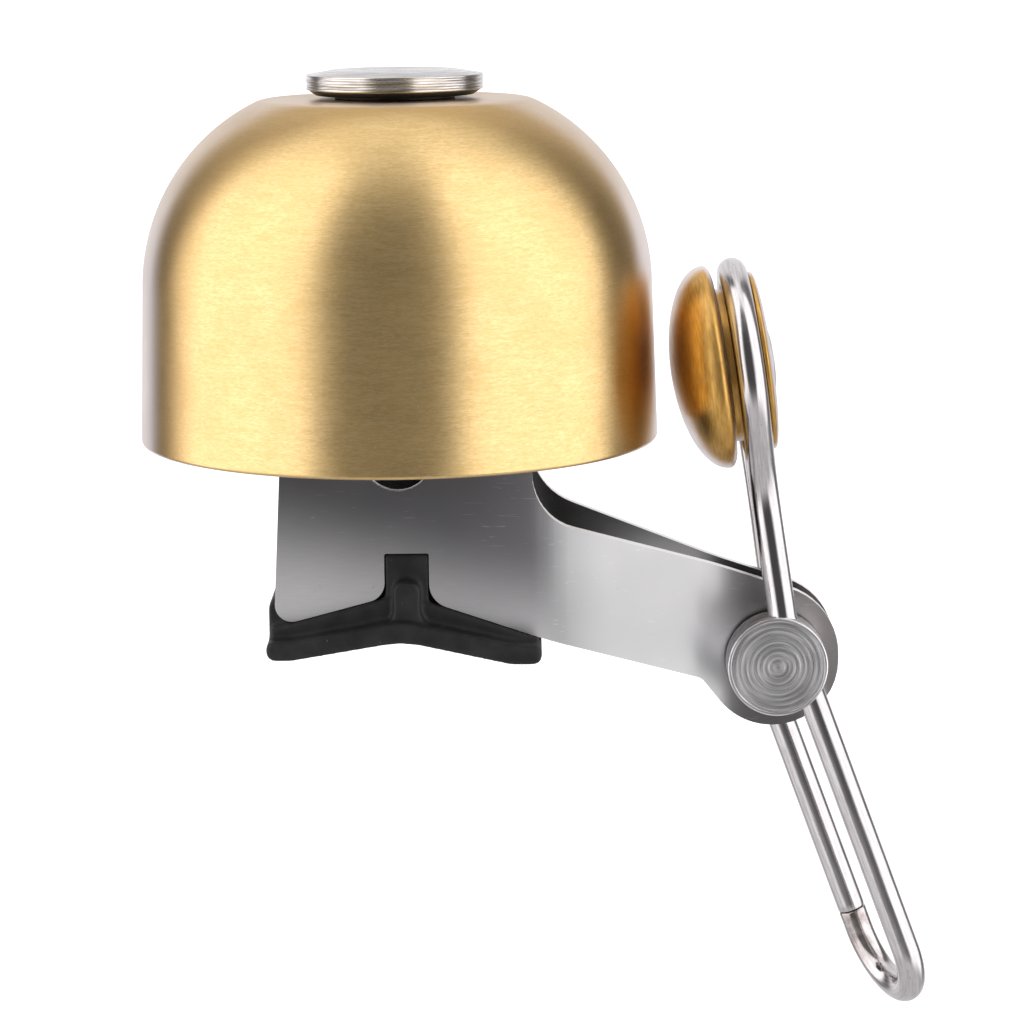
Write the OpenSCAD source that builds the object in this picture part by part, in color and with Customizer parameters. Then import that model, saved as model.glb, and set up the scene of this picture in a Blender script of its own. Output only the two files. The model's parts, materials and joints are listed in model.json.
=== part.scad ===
// Bicycle bell with a sprung wire striker: a brass dome on a U-bent steel bracket, a rubber
// saddle for the handlebar, and a wire lever that swings on a pin through the bracket's two arms.
// Millimetres. Z runs up the bell's axis, X points to the hinge and Y runs along the hinge pin.
// The origin is the centre of the strap pin bore, on the bell's axis.

/* [Bell dome] */
// Outer radius of the dome at its open rim
dome_r = 20; // [19.6:0.1:21]
// Thickness of the dome's wall
dome_wall = 1.4; // [1.0:0.1:2.0]
// Height of the open rim above the strap pin bore
rim_z = 0.5; // [0.2:0.1:1.5]
// Height of the dome's flat top above the strap pin bore
dome_top_z = 26.6; // [26:0.1:28]
// Radius of the rounding between the wall and the top
shoulder_r = 15.75; // [15:0.25:16.5]
// How much the wall narrows between the rim and the shoulder
wall_draft = 0.4; // [0.1:0.1:0.8]
// Radius of the flat top
flat_r = 10.3; // [9:0.1:11]

/* [Cap and post] */
// Outer radius of the turned cap
cap_r = 6.75; // [6:0.05:8]
// Height of the cap's grooved side
cap_h = 1.15; // [1:0.05:1.5]
// Depth of the fine grooves around the cap's side
cap_groove = 0.05; // [0.02:0.01:0.08]
// Thickness of the black washer under the cap
cap_washer_h = 0.7; // [0.5:0.1:1.2]
// Radius of the stud that clamps the dome
stud_r = 2.4; // [2:0.1:2.6]
// Outer radius of the spacer post inside the dome
post_r = 4; // [3.6:0.1:5]
// Radius of the washer under the dome's top
inner_washer_r = 6; // [5:0.5:8]

/* [Bracket] */
// Thickness of the bracket's steel sheet
sheet_t = 1.0; // [0.8:0.1:1.2]
// Outer width of the bracket across its two cheeks
cheek_w = 14; // [13.5:0.1:14.4]
// Height of the bracket's web above the strap pin bore
web_z = 8; // [7.6:0.1:9]
// Radius of the strap pin bore
strap_bore_r = 2.65; // [2:0.05:2.8]
// Plan angle of the converging arms
arm_angle = 19.5; // [18.5:0.5:20.5]
// Downward slope of the arms
arm_slope = 18.4; // [17:0.2:19]

/* [Hinge] */
// Distance of the hinge pin from the bell's axis
pivot_x = 29.05; // [28.5:0.05:29.5]
// Depth of the hinge pin below the strap pin bore
pivot_drop = 16.95; // [16.5:0.05:17.4]
// Radius of the hinge pin
pin_r = 1.5; // [1.3:0.05:1.6]
// Radial clearance of the pin in its bushes
pin_clearance = 0.05; // [0.02:0.01:0.08]
// Half the gap between the arms at the hinge
hinge_gap = 1.4; // [1.4:0.05:1.6]
// Radius of the turned discs on the pin
head_r = 3.87; // [3.7:0.05:4.1]
// Thickness of the turned discs
head_h = 2.9; // [2.8:0.1:3.2]

/* [Lever wire] */
// Radius of the lever's wire
wire_r = 1.1; // [1.0:0.05:1.15]
// Radius of the wire's loop around the striker
striker_loop_r = 7.1; // [6.9:0.05:7.3]
// Height of the striker's centre above the strap pin bore
striker_z = 6.0; // [5.5:0.1:6.5]
// Half the distance between the two wires at the neck below the striker
neck_half = 2.4; // [2.4:0.1:3.2]
// Lean of the upper wires towards the bell
upper_lean = 8.1; // [7.5:0.1:8.7]
// Lean of the finger loop away from the handlebar
lower_lean = 20.1; // [19.5:0.1:20.9]
// Twist of the finger loop about its own length
loop_twist = -19.5; // [-22:0.5:-17]
// Distance from the hinge pin to the finger loop's last bend
loop_length = 25.3; // [24.5:0.1:27]

/* [Striker] */
// Radius of the domed striking body
striker_r = 7.9; // [7.7:0.05:8]
// Depth of the domed striking face in front of the body's widest ring
striker_dome = 3.5; // [3.2:0.1:3.6]
// Radius of the disc behind the wire
striker_back_r = 6.9; // [6.5:0.05:7.1]

/* [Saddle pad] */
// Depth of the pad along the handlebar
pad_depth = 18; // [17:0.5:20]
// Slope of the pad's seat on the side away from the hinge
seat_slope_left = 9.4; // [8:0.2:11]
// Slope of the pad's seat on the hinge side
seat_slope_right = 12.6; // [11:0.2:14]
// Height of the seat's peak below the strap pin bore
seat_drop = 13.95; // [13.6:0.05:14.2]

/* [Spring] */
// Diameter of the return spring's wire
spring_wire = 0.45; // [0.35:0.05:0.45]
// Mean radius of the return spring's coils
spring_r = 2.45; // [2.4:0.05:2.55]
// Number of coils in the return spring
spring_turns = 4; // [3:1:4]

/* [Hidden] */

fine = 96;
medium = 64;
small = 32;
cut = 1;
fit = 0.02;

brass = [0.80, 0.62, 0.30];
steel = [0.70, 0.70, 0.71];
dark_steel = [0.45, 0.45, 0.46];
black = [0.08, 0.08, 0.08];
bronze = [0.62, 0.45, 0.25];

// dome
wall_top_r = dome_r - wall_draft;
shoulder_x = wall_top_r - shoulder_r;
flat_run = flat_r - shoulder_x;
shoulder_z = dome_top_z - sqrt(shoulder_r * shoulder_r - flat_run * flat_run);
rim_chamfer = 0.3;
stud_hole_r = stud_r + 0.1;

// stack above and below the dome's top
washer_step_h = cap_washer_h * 0.45;
washer_base_r = 4.6;
cap_z = dome_top_z + cap_washer_h;
cap_chamfer_w = 1.8;
cap_chamfer_h = 0.3;
cap_grooves = 5;
groove_pitch = (cap_h - 0.1) / cap_grooves;
inner_washer_h = 0.8;
inner_top_z = dome_top_z - dome_wall;
post_top_z = inner_top_z - inner_washer_h;
web_under_z = web_z - sheet_t;
lock_washer_h = 0.8;
lock_washer_r = 4.2;
nut_h = 2.7;
nut_flats = 8;
nut_r = nut_flats / 2 / cos(30);
nut_top_z = web_under_z - lock_washer_h;
stud_end_z = nut_top_z - nut_h - 0.5;

// bracket
half_w = cheek_w / 2;
pivot_z = -pivot_drop;
arm_out = hinge_gap + sheet_t;
bend_mid_r = 8;
bend_end_x = pivot_x - 3.29;
mid_body_y = half_w - sheet_t / 2;
mid_arm_y = hinge_gap + sheet_t / 2;
arm_run = (mid_body_y - mid_arm_y - 2 * bend_mid_r * (1 - cos(arm_angle))) / sin(arm_angle);
bend_start_x = bend_end_x - 2 * bend_mid_r * sin(arm_angle) - arm_run * cos(arm_angle);
bend_steps = 8;
sheet_end_x = pivot_x + 8;
sheet_start_x = -14;
sheet_top_z = web_z - 3;
u_outer_r = 2;
notch_left = -1.12;
notch_right = 2.28;
notch_top = -7.45;
arm_top_x = 10.2;
arm_top_z = -4.75;
edge_left_z = -10.86;
edge_right_z = -11.2;
corner_left_x = -9.62;
corner_left_z = -13.1;
arm_low_x = 23.3;
arm_low_z = -18.4;
edge_left_fall = (edge_left_z - corner_left_z) / (notch_left - corner_left_x);
edge_right_fall = (edge_right_z - arm_low_z) / (arm_low_x - notch_right);
bush_r = 2.0;
lobe_right = pivot_x + 4.95;
lobe_bottom = pivot_z - 5.35;

// anchor pin of the return spring, hidden behind the front disc
anchor_r = 0.4;
anchor_reach = 3.3;
anchor_rise = 12.5;
anchor_x = pivot_x - anchor_reach * cos(anchor_rise);
anchor_z = pivot_z + anchor_reach * sin(anchor_rise);

// fine turned grooves on the outer face of each disc on the pin
ring_pitch = 0.65;
ring_depth = 0.08;
rim_w = 0.25;
nub_r = 0.45;
rings = floor((head_r - rim_w - nub_r) / ring_pitch);

// lever
washer_gap = 0.02;
pin_seat = 0.3;
pivot_washer_h = 0.2;
pivot_washer_r = 3.2;
head_in = arm_out + pivot_washer_h + 2 * washer_gap;
head_out = head_in + head_h;
wire_y = (head_in + head_out) / 2;
upper_offset = 0.97;
front_up = 3.6;
front_down = 2.4;
back_down = 2.6;
slot_half = wire_r + 0.03;
upper_x0 = pivot_x + upper_offset;
striker_up = (striker_z - pivot_z) / cos(upper_lean);
neck_drop = 9.5;
neck_r = 8;
neck_up = striker_up - neck_drop;
leg_angle = leg_lean(striker_loop_r, neck_half, neck_drop);
leg_half = striker_loop_r * cos(leg_angle);
leg_top = striker_up - striker_loop_r * sin(leg_angle);
loop_shift = 0.225;
loop_r = wire_y / cos(loop_twist);
knee_r = 1.6;
seam_at = 23.4;
seam_gap = 0.06;
seam_chamfer = 0.1;
loop_steps = 36;

// striker, along its own axis: the dome points to the bell
groove_half = wire_r + 0.05;
groove_front = wire_r + 0.5;
groove_floor_r = striker_loop_r - wire_r - 0.05;
edge_round_w = 1.3;
edge_round_h = 0.65;
rim_at = groove_front + edge_round_h;
face_steps = 20;
edge_steps = 6;
back_edge_h = 0.25;
back_bulge = 0.65;
back_bulge_end = 65;
back_h = back_edge_h + back_bulge * sin(back_bulge_end);
rivet_r = 1.6;
rivet_depth = 3;
rivet_head_r = 2.5;
rivet_head_h = 0.3;

// pad
pad_half = pad_depth / 2;
pad_left = -10.15;
pad_right = 10.85;
apex_x = 0.3;
lip_h = 1.45;
seat_left = -8.2;
seat_right = 8.6;
seat_low_left = -seat_drop - tan(seat_slope_left) * (apex_x - seat_left);
seat_low_right = -seat_drop - tan(seat_slope_right) * (seat_right - apex_x);
pad_body_half = half_w + 0.3;
core_half = half_w - sheet_t - 0.05;
core_top = -8;
rib_gap = 0.05;
strip_half = 1.0;
strip_mid = (notch_left + notch_right) / 2;
strip_top = -9.4;
strip_out = half_w + 1.2;

// spring
hub_in_r = pin_r + fit;
hub_out_r = 2.05;
hub_half = hinge_gap - 0.15;
spring_pitch = spring_wire + 0.04;
spring_steps = 24;
spring_over = 10;
coil_count = spring_turns * spring_steps + spring_over;
spring_half = coil_count / spring_steps * spring_pitch / 2;
spring_start = 110;
spring_leg = 3.9;

// Angle by which a leg leans inwards when it leaves a loop of radius r and meets the distance y
// at the depth d below the loop's centre.
function leg_lean(r, y, d) = asin(r / sqrt(y * y + d * d)) - atan2(y, d);

// Point list of a polygon whose corners [x, y, r] are rounded with the radius r.
function unit(v) = v / norm(v);
function corner(a, b, c, n) =
    let (
        u = unit([a[0] - b[0], a[1] - b[1]]),
        w = unit([c[0] - b[0], c[1] - b[1]]),
        half = acos(max(-1, min(1, u * w))) / 2,
        reach = b[2] / tan(half),
        mid = [b[0], b[1]] + unit(u + w) * b[2] / sin(half),
        p = [b[0], b[1]] + u * reach,
        q = [b[0], b[1]] + w * reach,
        a0 = atan2(p[1] - mid[1], p[0] - mid[0]),
        a1 = atan2(q[1] - mid[1], q[0] - mid[0]),
        turn = a1 - a0 > 180 ? a1 - a0 - 360 : (a1 - a0 < -180 ? a1 - a0 + 360 : a1 - a0)
    )
    [for (i = [0:n]) mid + b[2] * [cos(a0 + turn * i / n), sin(a0 + turn * i / n)]];
function rounded(list, n = 8) =
    [for (k = [0:len(list) - 1])
        let (
            a = list[(k + len(list) - 1) % len(list)],
            b = list[k],
            c = list[(k + 1) % len(list)]
        )
        each (b[2] > 0 ? corner(a, b, c, n) : [[b[0], b[1]]])];

// Extrudes an outline drawn in X and Z along Y, between y0 and y1.
module along_y(y0, y1) {
    translate([0, y1, 0])
        rotate([90, 0, 0])
            linear_extrude(height = y1 - y0)
                children();
}

module hinge_rod(x, z, r, y0, y1, faces = medium) {
    translate([x, y0, z])
        rotate([-90, 0, 0])
            cylinder(r = r, h = y1 - y0, $fn = faces);
}

// Half of the dome's section out to the skin that lies inset inside the outer one.
module dome_half(inset, low) {
    polygon([
        [0, low],
        [dome_r - inset + wall_draft * (rim_z - low) / (shoulder_z - rim_z), low],
        [wall_top_r - inset, shoulder_z],
        [0, shoulder_z]
    ]);
    intersection() {
        translate([shoulder_x, shoulder_z])
            circle(r = shoulder_r - inset, $fn = 2 * fine);
        translate([0, shoulder_z - fit])
            square([dome_r, dome_top_z - inset - shoulder_z + fit]);
    }
}

module bell_dome() {
    color(brass)
        rotate_extrude($fn = 2 * fine)
            difference() {
                dome_half(0, rim_z);
                dome_half(dome_wall, rim_z - cut);
                translate([-cut, inner_top_z - cut])
                    square([cut + stud_hole_r, dome_wall + 2 * cut]);
                translate([dome_r, rim_z])
                    rotate(45)
                        square(rim_chamfer * sqrt(2), center = true);
                translate([dome_r - dome_wall, rim_z])
                    rotate(45)
                        square(rim_chamfer * sqrt(2), center = true);
            }
}

module top_cap() {
    color(steel)
        rotate_extrude($fn = fine)
            polygon(concat(
                [
                    [0, stud_end_z],
                    [stud_r - 0.3, stud_end_z],
                    [stud_r, stud_end_z + 0.3],
                    [stud_r, cap_z],
                    [cap_r, cap_z]
                ],
                [for (k = [0:cap_grooves - 1])
                    let (z = cap_z + 0.05 + k * groove_pitch)
                    each [
                        [cap_r, z],
                        [cap_r - cap_groove, z + groove_pitch * 0.25],
                        [cap_r, z + groove_pitch * 0.5]
                    ]],
                [
                    [cap_r, cap_z + cap_h],
                    [cap_r - cap_chamfer_w, cap_z + cap_h + cap_chamfer_h],
                    [0, cap_z + cap_h + cap_chamfer_h]
                ]
            ));
}

module cap_washer() {
    color(black)
        rotate_extrude($fn = fine)
            polygon([
                [stud_hole_r, dome_top_z],
                [washer_base_r, dome_top_z],
                [washer_base_r, dome_top_z + washer_step_h],
                [cap_r - 0.7, dome_top_z + washer_step_h],
                [cap_r - 0.12, cap_z],
                [stud_hole_r, cap_z]
            ]);
}

module inner_washer() {
    color(black)
        rotate_extrude($fn = medium)
            polygon([
                [stud_hole_r, post_top_z],
                [inner_washer_r, post_top_z],
                [inner_washer_r, inner_top_z],
                [stud_hole_r, inner_top_z]
            ]);
}

module dome_post() {
    color(steel)
        difference() {
            translate([0, 0, web_z])
                cylinder(r = post_r, h = post_top_z - web_z, $fn = medium);
            translate([0, 0, web_z - cut])
                cylinder(r = stud_hole_r, h = post_top_z - web_z + 2 * cut, $fn = small);
        }
}

module post_lock_washer() {
    color(dark_steel)
        difference() {
            translate([0, 0, nut_top_z])
                cylinder(r = lock_washer_r, h = lock_washer_h, $fn = medium);
            translate([0, 0, nut_top_z - cut])
                cylinder(r = stud_hole_r, h = lock_washer_h + 2 * cut, $fn = small);
            translate([0, -0.25, nut_top_z - cut])
                cube([lock_washer_r + cut, 0.5, lock_washer_h + 2 * cut]);
        }
}

module post_nut() {
    color(dark_steel)
        difference() {
            translate([0, 0, nut_top_z - nut_h])
                cylinder(r = nut_r, h = nut_h, $fn = 6);
            translate([0, 0, nut_top_z - nut_h - cut])
                cylinder(r = stud_r + fit, h = nut_h + 2 * cut, $fn = small);
        }
}

// Plan of the front cheek and its arm: straight, bent in, straight, bent back parallel.
function bend_in(r) =
    [for (i = [0:bend_steps])
        [bend_start_x + r * sin(arm_angle * i / bend_steps),
            mid_body_y - bend_mid_r + r * cos(arm_angle * i / bend_steps)]];
function bend_back(r) =
    [for (i = [bend_steps:-1:0])
        [bend_end_x - r * sin(arm_angle * i / bend_steps),
            mid_arm_y + bend_mid_r - r * cos(arm_angle * i / bend_steps)]];
function reversed(list) = [for (i = [len(list) - 1:-1:0]) list[i]];

module sheet_plan() {
    wide = bend_mid_r + sheet_t / 2;
    tight = bend_mid_r - sheet_t / 2;
    polygon(concat(
        [[sheet_start_x, half_w]],
        bend_in(wide),
        bend_back(tight),
        [[sheet_end_x, arm_out], [sheet_end_x, hinge_gap]],
        reversed(bend_back(wide)),
        reversed(bend_in(tight)),
        [[sheet_start_x, half_w - sheet_t]]
    ));
}

// Side outline of a cheek with its arm and the round end that carries the hinge.
module bracket_outline() {
    s = tan(arm_slope);
    polygon(rounded([
        [-8.4, web_z + cut, 0],
        [corner_left_x, corner_left_z, 1.3],
        [notch_left, edge_left_z, 1.5],
        [notch_left, notch_top, 0.15],
        [notch_right, notch_top, 0.15],
        [notch_right, edge_right_z, 1.9],
        [arm_low_x, arm_low_z, 1.2],
        [26.31, lobe_bottom, 5.2],
        [lobe_right, lobe_bottom, 5.1],
        [lobe_right, arm_top_z - s * (lobe_right - arm_top_x), 5.5],
        [arm_top_x, arm_top_z, 4.6],
        [arm_top_x, web_z + cut, 0]
    ], 10));
}

module u_section() {
    polygon(rounded([
        [-half_w, sheet_top_z - cut, 0],
        [half_w, sheet_top_z - cut, 0],
        [half_w, web_z, u_outer_r],
        [-half_w, web_z, u_outer_r]
    ], 8));
}

module u_hollow() {
    polygon(rounded([
        [sheet_t - half_w, sheet_top_z - 2 * cut, 0],
        [half_w - sheet_t, sheet_top_z - 2 * cut, 0],
        [half_w - sheet_t, web_under_z, u_outer_r - sheet_t],
        [sheet_t - half_w, web_under_z, u_outer_r - sheet_t]
    ], 8));
}

module bracket() {
    color(steel)
        difference() {
            intersection() {
                union() {
                    translate([0, 0, lobe_bottom - cut])
                        linear_extrude(height = sheet_top_z - lobe_bottom + cut) {
                            sheet_plan();
                            mirror([0, 1])
                                sheet_plan();
                        }
                    translate([sheet_start_x, 0, 0])
                        rotate([90, 0, 90])
                            linear_extrude(height = arm_top_x - sheet_start_x + cut)
                                difference() {
                                    u_section();
                                    u_hollow();
                                }
                }
                along_y(-half_w - cut, half_w + cut)
                    bracket_outline();
            }
            hinge_rod(0, 0, strap_bore_r, -half_w - cut, half_w + cut);
            hinge_rod(pivot_x, pivot_z, bush_r + fit / 2, -half_w, half_w);
            hinge_rod(anchor_x, anchor_z, anchor_r + fit / 2, -half_w, half_w, small);
            translate([0, 0, web_under_z - cut])
                cylinder(r = stud_hole_r, h = sheet_t + 2 * cut, $fn = small);
        }
}

// Outline of the pad's bottom lip: a shallow upturned V with rounded ends.
module lip_outline() {
    polygon(rounded([
        [pad_left, seat_low_left, 0.7],
        [seat_left, seat_low_left, 3],
        [apex_x, -seat_drop, 8],
        [seat_right, seat_low_right, 3],
        [pad_right, seat_low_right, 0.7],
        [pad_right, seat_low_right + lip_h, 0.5],
        [seat_right, seat_low_right + lip_h + 0.1, 2],
        [apex_x, lip_h - seat_drop + 0.15, 3],
        [seat_left, seat_low_left + lip_h, 2],
        [pad_left, seat_low_left + lip_h, 0.5]
    ], 6));
}

// Outline of the pad's wall, which ends just under the bracket's lower edges.
module wall_outline() {
    left = pad_left + 0.25;
    right = pad_right - 0.25;
    polygon([
        [left, seat_low_left + lip_h / 2],
        [apex_x, lip_h / 2 - seat_drop],
        [right, seat_low_right + lip_h / 2],
        [right, edge_right_z - rib_gap - edge_right_fall * (right - notch_right)],
        [notch_right - rib_gap, edge_right_z - rib_gap],
        [notch_left + rib_gap, edge_left_z - rib_gap],
        [left, edge_left_z - rib_gap - edge_left_fall * (notch_left - left)]
    ]);
}

module core_outline() {
    polygon(rounded([
        [pad_left + 0.05, seat_low_left + lip_h / 2, 0],
        [apex_x, lip_h / 2 - seat_drop, 0],
        [pad_right - 0.05, seat_low_right + lip_h / 2, 0],
        [pad_right - 0.05, -12.2, 1.2],
        [8.2, core_top, 1],
        [-7.6, core_top, 1],
        [pad_left + 0.05, -11.6, 1.2]
    ], 6));
}

module pad_rib() {
    translate([notch_left + rib_gap, -half_w + fit, -13.2])
        cube([notch_right - notch_left - 2 * rib_gap, sheet_t + 0.2, notch_top + 13.2 - rib_gap]);
    along_y(-strip_out, -half_w + 0.1)
        polygon(rounded([
            [strip_mid - strip_half - 1.2, -13.4, 0],
            [strip_mid + strip_half + 1.2, -13.4, 0],
            [strip_mid + strip_half, -12.2, 1.5],
            [strip_mid + strip_half, strip_top, 0.8],
            [strip_mid - strip_half, strip_top, 0.8],
            [strip_mid - strip_half, -12.2, 1.5]
        ], 6));
}

module saddle_pad() {
    color(black)
        union() {
            along_y(-pad_half, pad_half)
                lip_outline();
            along_y(-pad_body_half, pad_body_half)
                wall_outline();
            along_y(-core_half, core_half)
                core_outline();
            pad_rib();
            mirror([0, 1, 0])
                pad_rib();
        }
}

// Points of the lever. Both of its halves start from the hinge pin's axis: the upper one leans
// towards the bell, and the finger loop leans away and is twisted about its own length.
function turned(p, a, x0) =
    [x0 + p[0] * cos(a) - p[2] * sin(a), p[1], pivot_z + p[0] * sin(a) + p[2] * cos(a)];
function upper_point(y, up) = turned([0, y, up], upper_lean, upper_x0);
function lower_point(across, down) =
    turned([loop_shift + across * sin(loop_twist), across * cos(loop_twist), -down],
        lower_lean, pivot_x);

// The bends hidden inside the two discs.
front_high = upper_point(-wire_y, front_up);
front_low = lower_point(-loop_r, front_down);
back_high = upper_point(wire_y, front_up);
back_low = lower_point(loop_r, back_down);

// Arc that rounds the corner b between a and c with the radius r.
function bend(a, b, c, r, n) =
    let (
        u = unit(a - b),
        w = unit(c - b),
        half = acos(u * w) / 2,
        mid = b + unit(u + w) * r / sin(half),
        v0 = b + u * r / tan(half) - mid,
        v1 = b + w * r / tan(half) - mid,
        turn = 180 - 2 * half
    )
    [for (i = [0:n]) mid + (sin(turn * (n - i) / n) * v0 + sin(turn * i / n) * v1) / sin(turn)];

// Centre line of the wire, from its end at the seam round the whole lever and back to the seam.
function wire_line() = concat(
    [
        lower_point(loop_r, seam_at - seam_gap / 2),
        lower_point(loop_r, seam_at - seam_gap / 2 - 0.12)
    ],
    bend(lower_point(loop_r, seam_at), back_low, back_high, knee_r, 4),
    bend(back_low, back_high, upper_point(neck_half, neck_up), knee_r, 4),
    bend(back_high, upper_point(neck_half, neck_up), upper_point(leg_half, leg_top), neck_r, 6),
    [for (i = [0:loop_steps])
        let (a = -leg_angle + (180 + 2 * leg_angle) * i / loop_steps)
        upper_point(striker_loop_r * cos(a), striker_up + striker_loop_r * sin(a))],
    bend(upper_point(-leg_half, leg_top), upper_point(-neck_half, neck_up), front_high, neck_r, 6),
    bend(upper_point(-neck_half, neck_up), front_high, front_low, knee_r, 4),
    bend(front_high, front_low, lower_point(-loop_r, loop_length), knee_r, 4),
    [for (i = [0:loop_steps])
        let (a = 180 * i / loop_steps)
        lower_point(-loop_r * cos(a), loop_length + loop_r * sin(a))],
    [
        lower_point(loop_r, seam_at + seam_gap / 2 + 0.12),
        lower_point(loop_r, seam_at + seam_gap / 2)
    ]
);

// Round bar swept along a line of points; its two ends are chamfered by ease.
module swept(path, r, sides, ease) {
    last = len(path) - 1;
    tangents = [for (p = [0:last]) unit(path[min(p + 1, last)] - path[max(p - 1, 0)])];
    normals = [for (p = 0, n = unit(cross(tangents[0], [1, 0.2, 0.1]));
        p <= last;
        p = p + 1, n = p <= last ? unit(n - (n * tangents[p]) * tangents[p]) : n) n];
    flat = [for (p = [0:last])
        let (
            n = normals[p],
            b = cross(tangents[p], n),
            q = p == 0 || p == last ? r - ease : r
        )
        for (k = [0:sides - 1])
            path[p] + q * (n * cos(360 * k / sides) + b * sin(360 * k / sides))];
    polyhedron(
        points = flat,
        faces = concat(
            [[for (k = [0:sides - 1]) k]],
            [[for (k = [sides - 1:-1:0]) last * sides + k]],
            [for (p = [0:last - 1])
                for (k = [0:sides - 1])
                    [
                        p * sides + (k + 1) % sides,
                        p * sides + k,
                        (p + 1) * sides + k,
                        (p + 1) * sides + (k + 1) % sides
                    ]]
        ),
        convexity = 10
    );
}

module hammer_wire() {
    color(steel)
        swept(wire_line(), wire_r, 20, seam_chamfer);
}

module upper_frame() {
    translate([upper_x0, 0, pivot_z])
        rotate([0, -upper_lean, 0])
            children();
}

// Places a profile turned about the striker's axis; local Z points to the bell.
module on_striker() {
    upper_frame()
        translate([0, 0, striker_up])
            rotate([0, -90, 0])
                children();
}

module striker_head() {
    color(brass)
        on_striker()
            difference() {
                rotate_extrude($fn = fine)
                    polygon(concat(
                        [
                            [0, -groove_half],
                            [groove_floor_r, -groove_half],
                            [groove_floor_r, groove_front]
                        ],
                        [for (i = [0:edge_steps])
                            let (a = 90 * i / edge_steps)
                            [
                                striker_r - edge_round_w * (1 - sin(a)),
                                groove_front + edge_round_h * (1 - cos(a))
                            ]],
                        [for (i = [1:face_steps - 1])
                            let (a = 90 * i / face_steps)
                            [striker_r * cos(a), rim_at + striker_dome * sin(a)]],
                        [[0, rim_at + striker_dome]]
                    ));
                translate([0, 0, -groove_half - cut])
                    cylinder(r = rivet_r, h = rivet_depth + cut, $fn = small);
            }
}

module striker_back() {
    color(brass)
        on_striker()
            rotate_extrude($fn = fine)
                polygon(concat(
                    [[rivet_r + fit, -groove_half - back_h]],
                    [for (i = [edge_steps:-1:0])
                        let (a = back_bulge_end * i / edge_steps)
                        [
                            striker_back_r * cos(a),
                            -groove_half - back_edge_h - back_bulge * sin(a)
                        ]],
                    [
                        [striker_back_r, -groove_half - 0.1],
                        [striker_back_r - 0.1, -groove_half],
                        [rivet_r + fit, -groove_half]
                    ]
                ));
}

module striker_rivet() {
    color(steel)
        on_striker()
            rotate_extrude($fn = small)
                polygon([
                    [0, -groove_half - back_h - rivet_head_h],
                    [rivet_head_r - 0.3, -groove_half - back_h - rivet_head_h],
                    [rivet_head_r, -groove_half - back_h - rivet_head_h + 0.3],
                    [rivet_head_r, -groove_half - back_h],
                    [rivet_r - fit, -groove_half - back_h],
                    [rivet_r - fit, 1.5],
                    [0, 1.5]
                ]);
}

// Section of a disc from y = 0 at its inner face to its grooved outer face.
module disc_section(bore) {
    polygon(concat(
        [
            [bore, 0],
            [head_r - 0.1, 0],
            [head_r, 0.1],
            [head_r, head_h - 0.12],
            [head_r - 0.12, head_h],
            [head_r - rim_w, head_h],
            [head_r - rim_w, head_h - ring_depth]
        ],
        [for (k = [rings - 1:-1:0])
            let (r = nub_r + 0.15 + k * ring_pitch)
            each [
                [r + ring_pitch * 0.75, head_h - ring_depth],
                [r + ring_pitch * 0.5, head_h - ring_depth / 4],
                [r + ring_pitch * 0.25, head_h - ring_depth]
            ]],
        [
            [nub_r + 0.05, head_h - ring_depth],
            [nub_r, head_h - 0.02],
            [bore < nub_r ? bore : nub_r - 0.1, head_h - 0.02]
        ]
    ));
}

// Square tunnel for the wire through a disc, along the wire's bent line in X and Z.
function flat_unit(p, q) = unit([q[0] - p[0], q[2] - p[2]]);
function side_point(p, d0, d1, w) =
    let (m = unit([-d0[1] - d1[1], d0[0] + d1[0]]))
    [p[0], p[2]] + m * w / (m * [-d0[1], d0[0]]);
module wire_tunnel(top, high, low, foot, y) {
    d0 = flat_unit(top, high);
    d1 = flat_unit(high, low);
    d2 = flat_unit(low, foot);
    along_y(y - slot_half, y + slot_half)
        polygon([
            side_point(top, d0, d0, slot_half),
            side_point(high, d0, d1, slot_half),
            side_point(low, d1, d2, slot_half),
            side_point(foot, d2, d2, slot_half),
            side_point(foot, d2, d2, -slot_half),
            side_point(low, d1, d2, -slot_half),
            side_point(high, d0, d1, -slot_half),
            side_point(top, d0, d0, -slot_half)
        ]);
}

module pivot_pin() {
    color(steel)
        difference() {
            union() {
                translate([pivot_x, -head_in, pivot_z])
                    rotate([90, 0, 0])
                        rotate_extrude($fn = fine)
                            disc_section(0);
                hinge_rod(pivot_x, pivot_z, pin_r, -head_in - 0.1, head_in + pin_seat);
            }
            wire_tunnel(upper_point(0, 2 * head_r), front_high, front_low,
                lower_point(-loop_r, 2 * head_r), -wire_y);
        }
}

module pivot_head_rear() {
    color(steel)
        difference() {
            translate([pivot_x, head_in, pivot_z])
                rotate([-90, 0, 0])
                    rotate_extrude($fn = fine)
                        disc_section(0);
            hinge_rod(pivot_x, pivot_z, pin_r + fit / 2, head_in - cut, head_in + pin_seat + fit);
            wire_tunnel(upper_point(0, 2 * head_r), back_high, back_low,
                lower_point(loop_r, 2 * head_r), wire_y);
        }
}

module ring_on_pin(r_out, r_in, y0, y1) {
    difference() {
        hinge_rod(pivot_x, pivot_z, r_out, y0, y1);
        hinge_rod(pivot_x, pivot_z, r_in, y0 - cut, y1 + cut);
    }
}

module pivot_bushes() {
    color(bronze) {
        ring_on_pin(bush_r, pin_r + pin_clearance, -arm_out, -hinge_gap);
        ring_on_pin(bush_r, pin_r + pin_clearance, hinge_gap, arm_out);
    }
}

module pivot_washers() {
    color(black) {
        ring_on_pin(pivot_washer_r, pin_r + pin_clearance, -arm_out - washer_gap - pivot_washer_h,
            -arm_out - washer_gap);
        ring_on_pin(pivot_washer_r, pin_r + pin_clearance, arm_out + washer_gap,
            arm_out + washer_gap + pivot_washer_h);
    }
}

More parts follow.
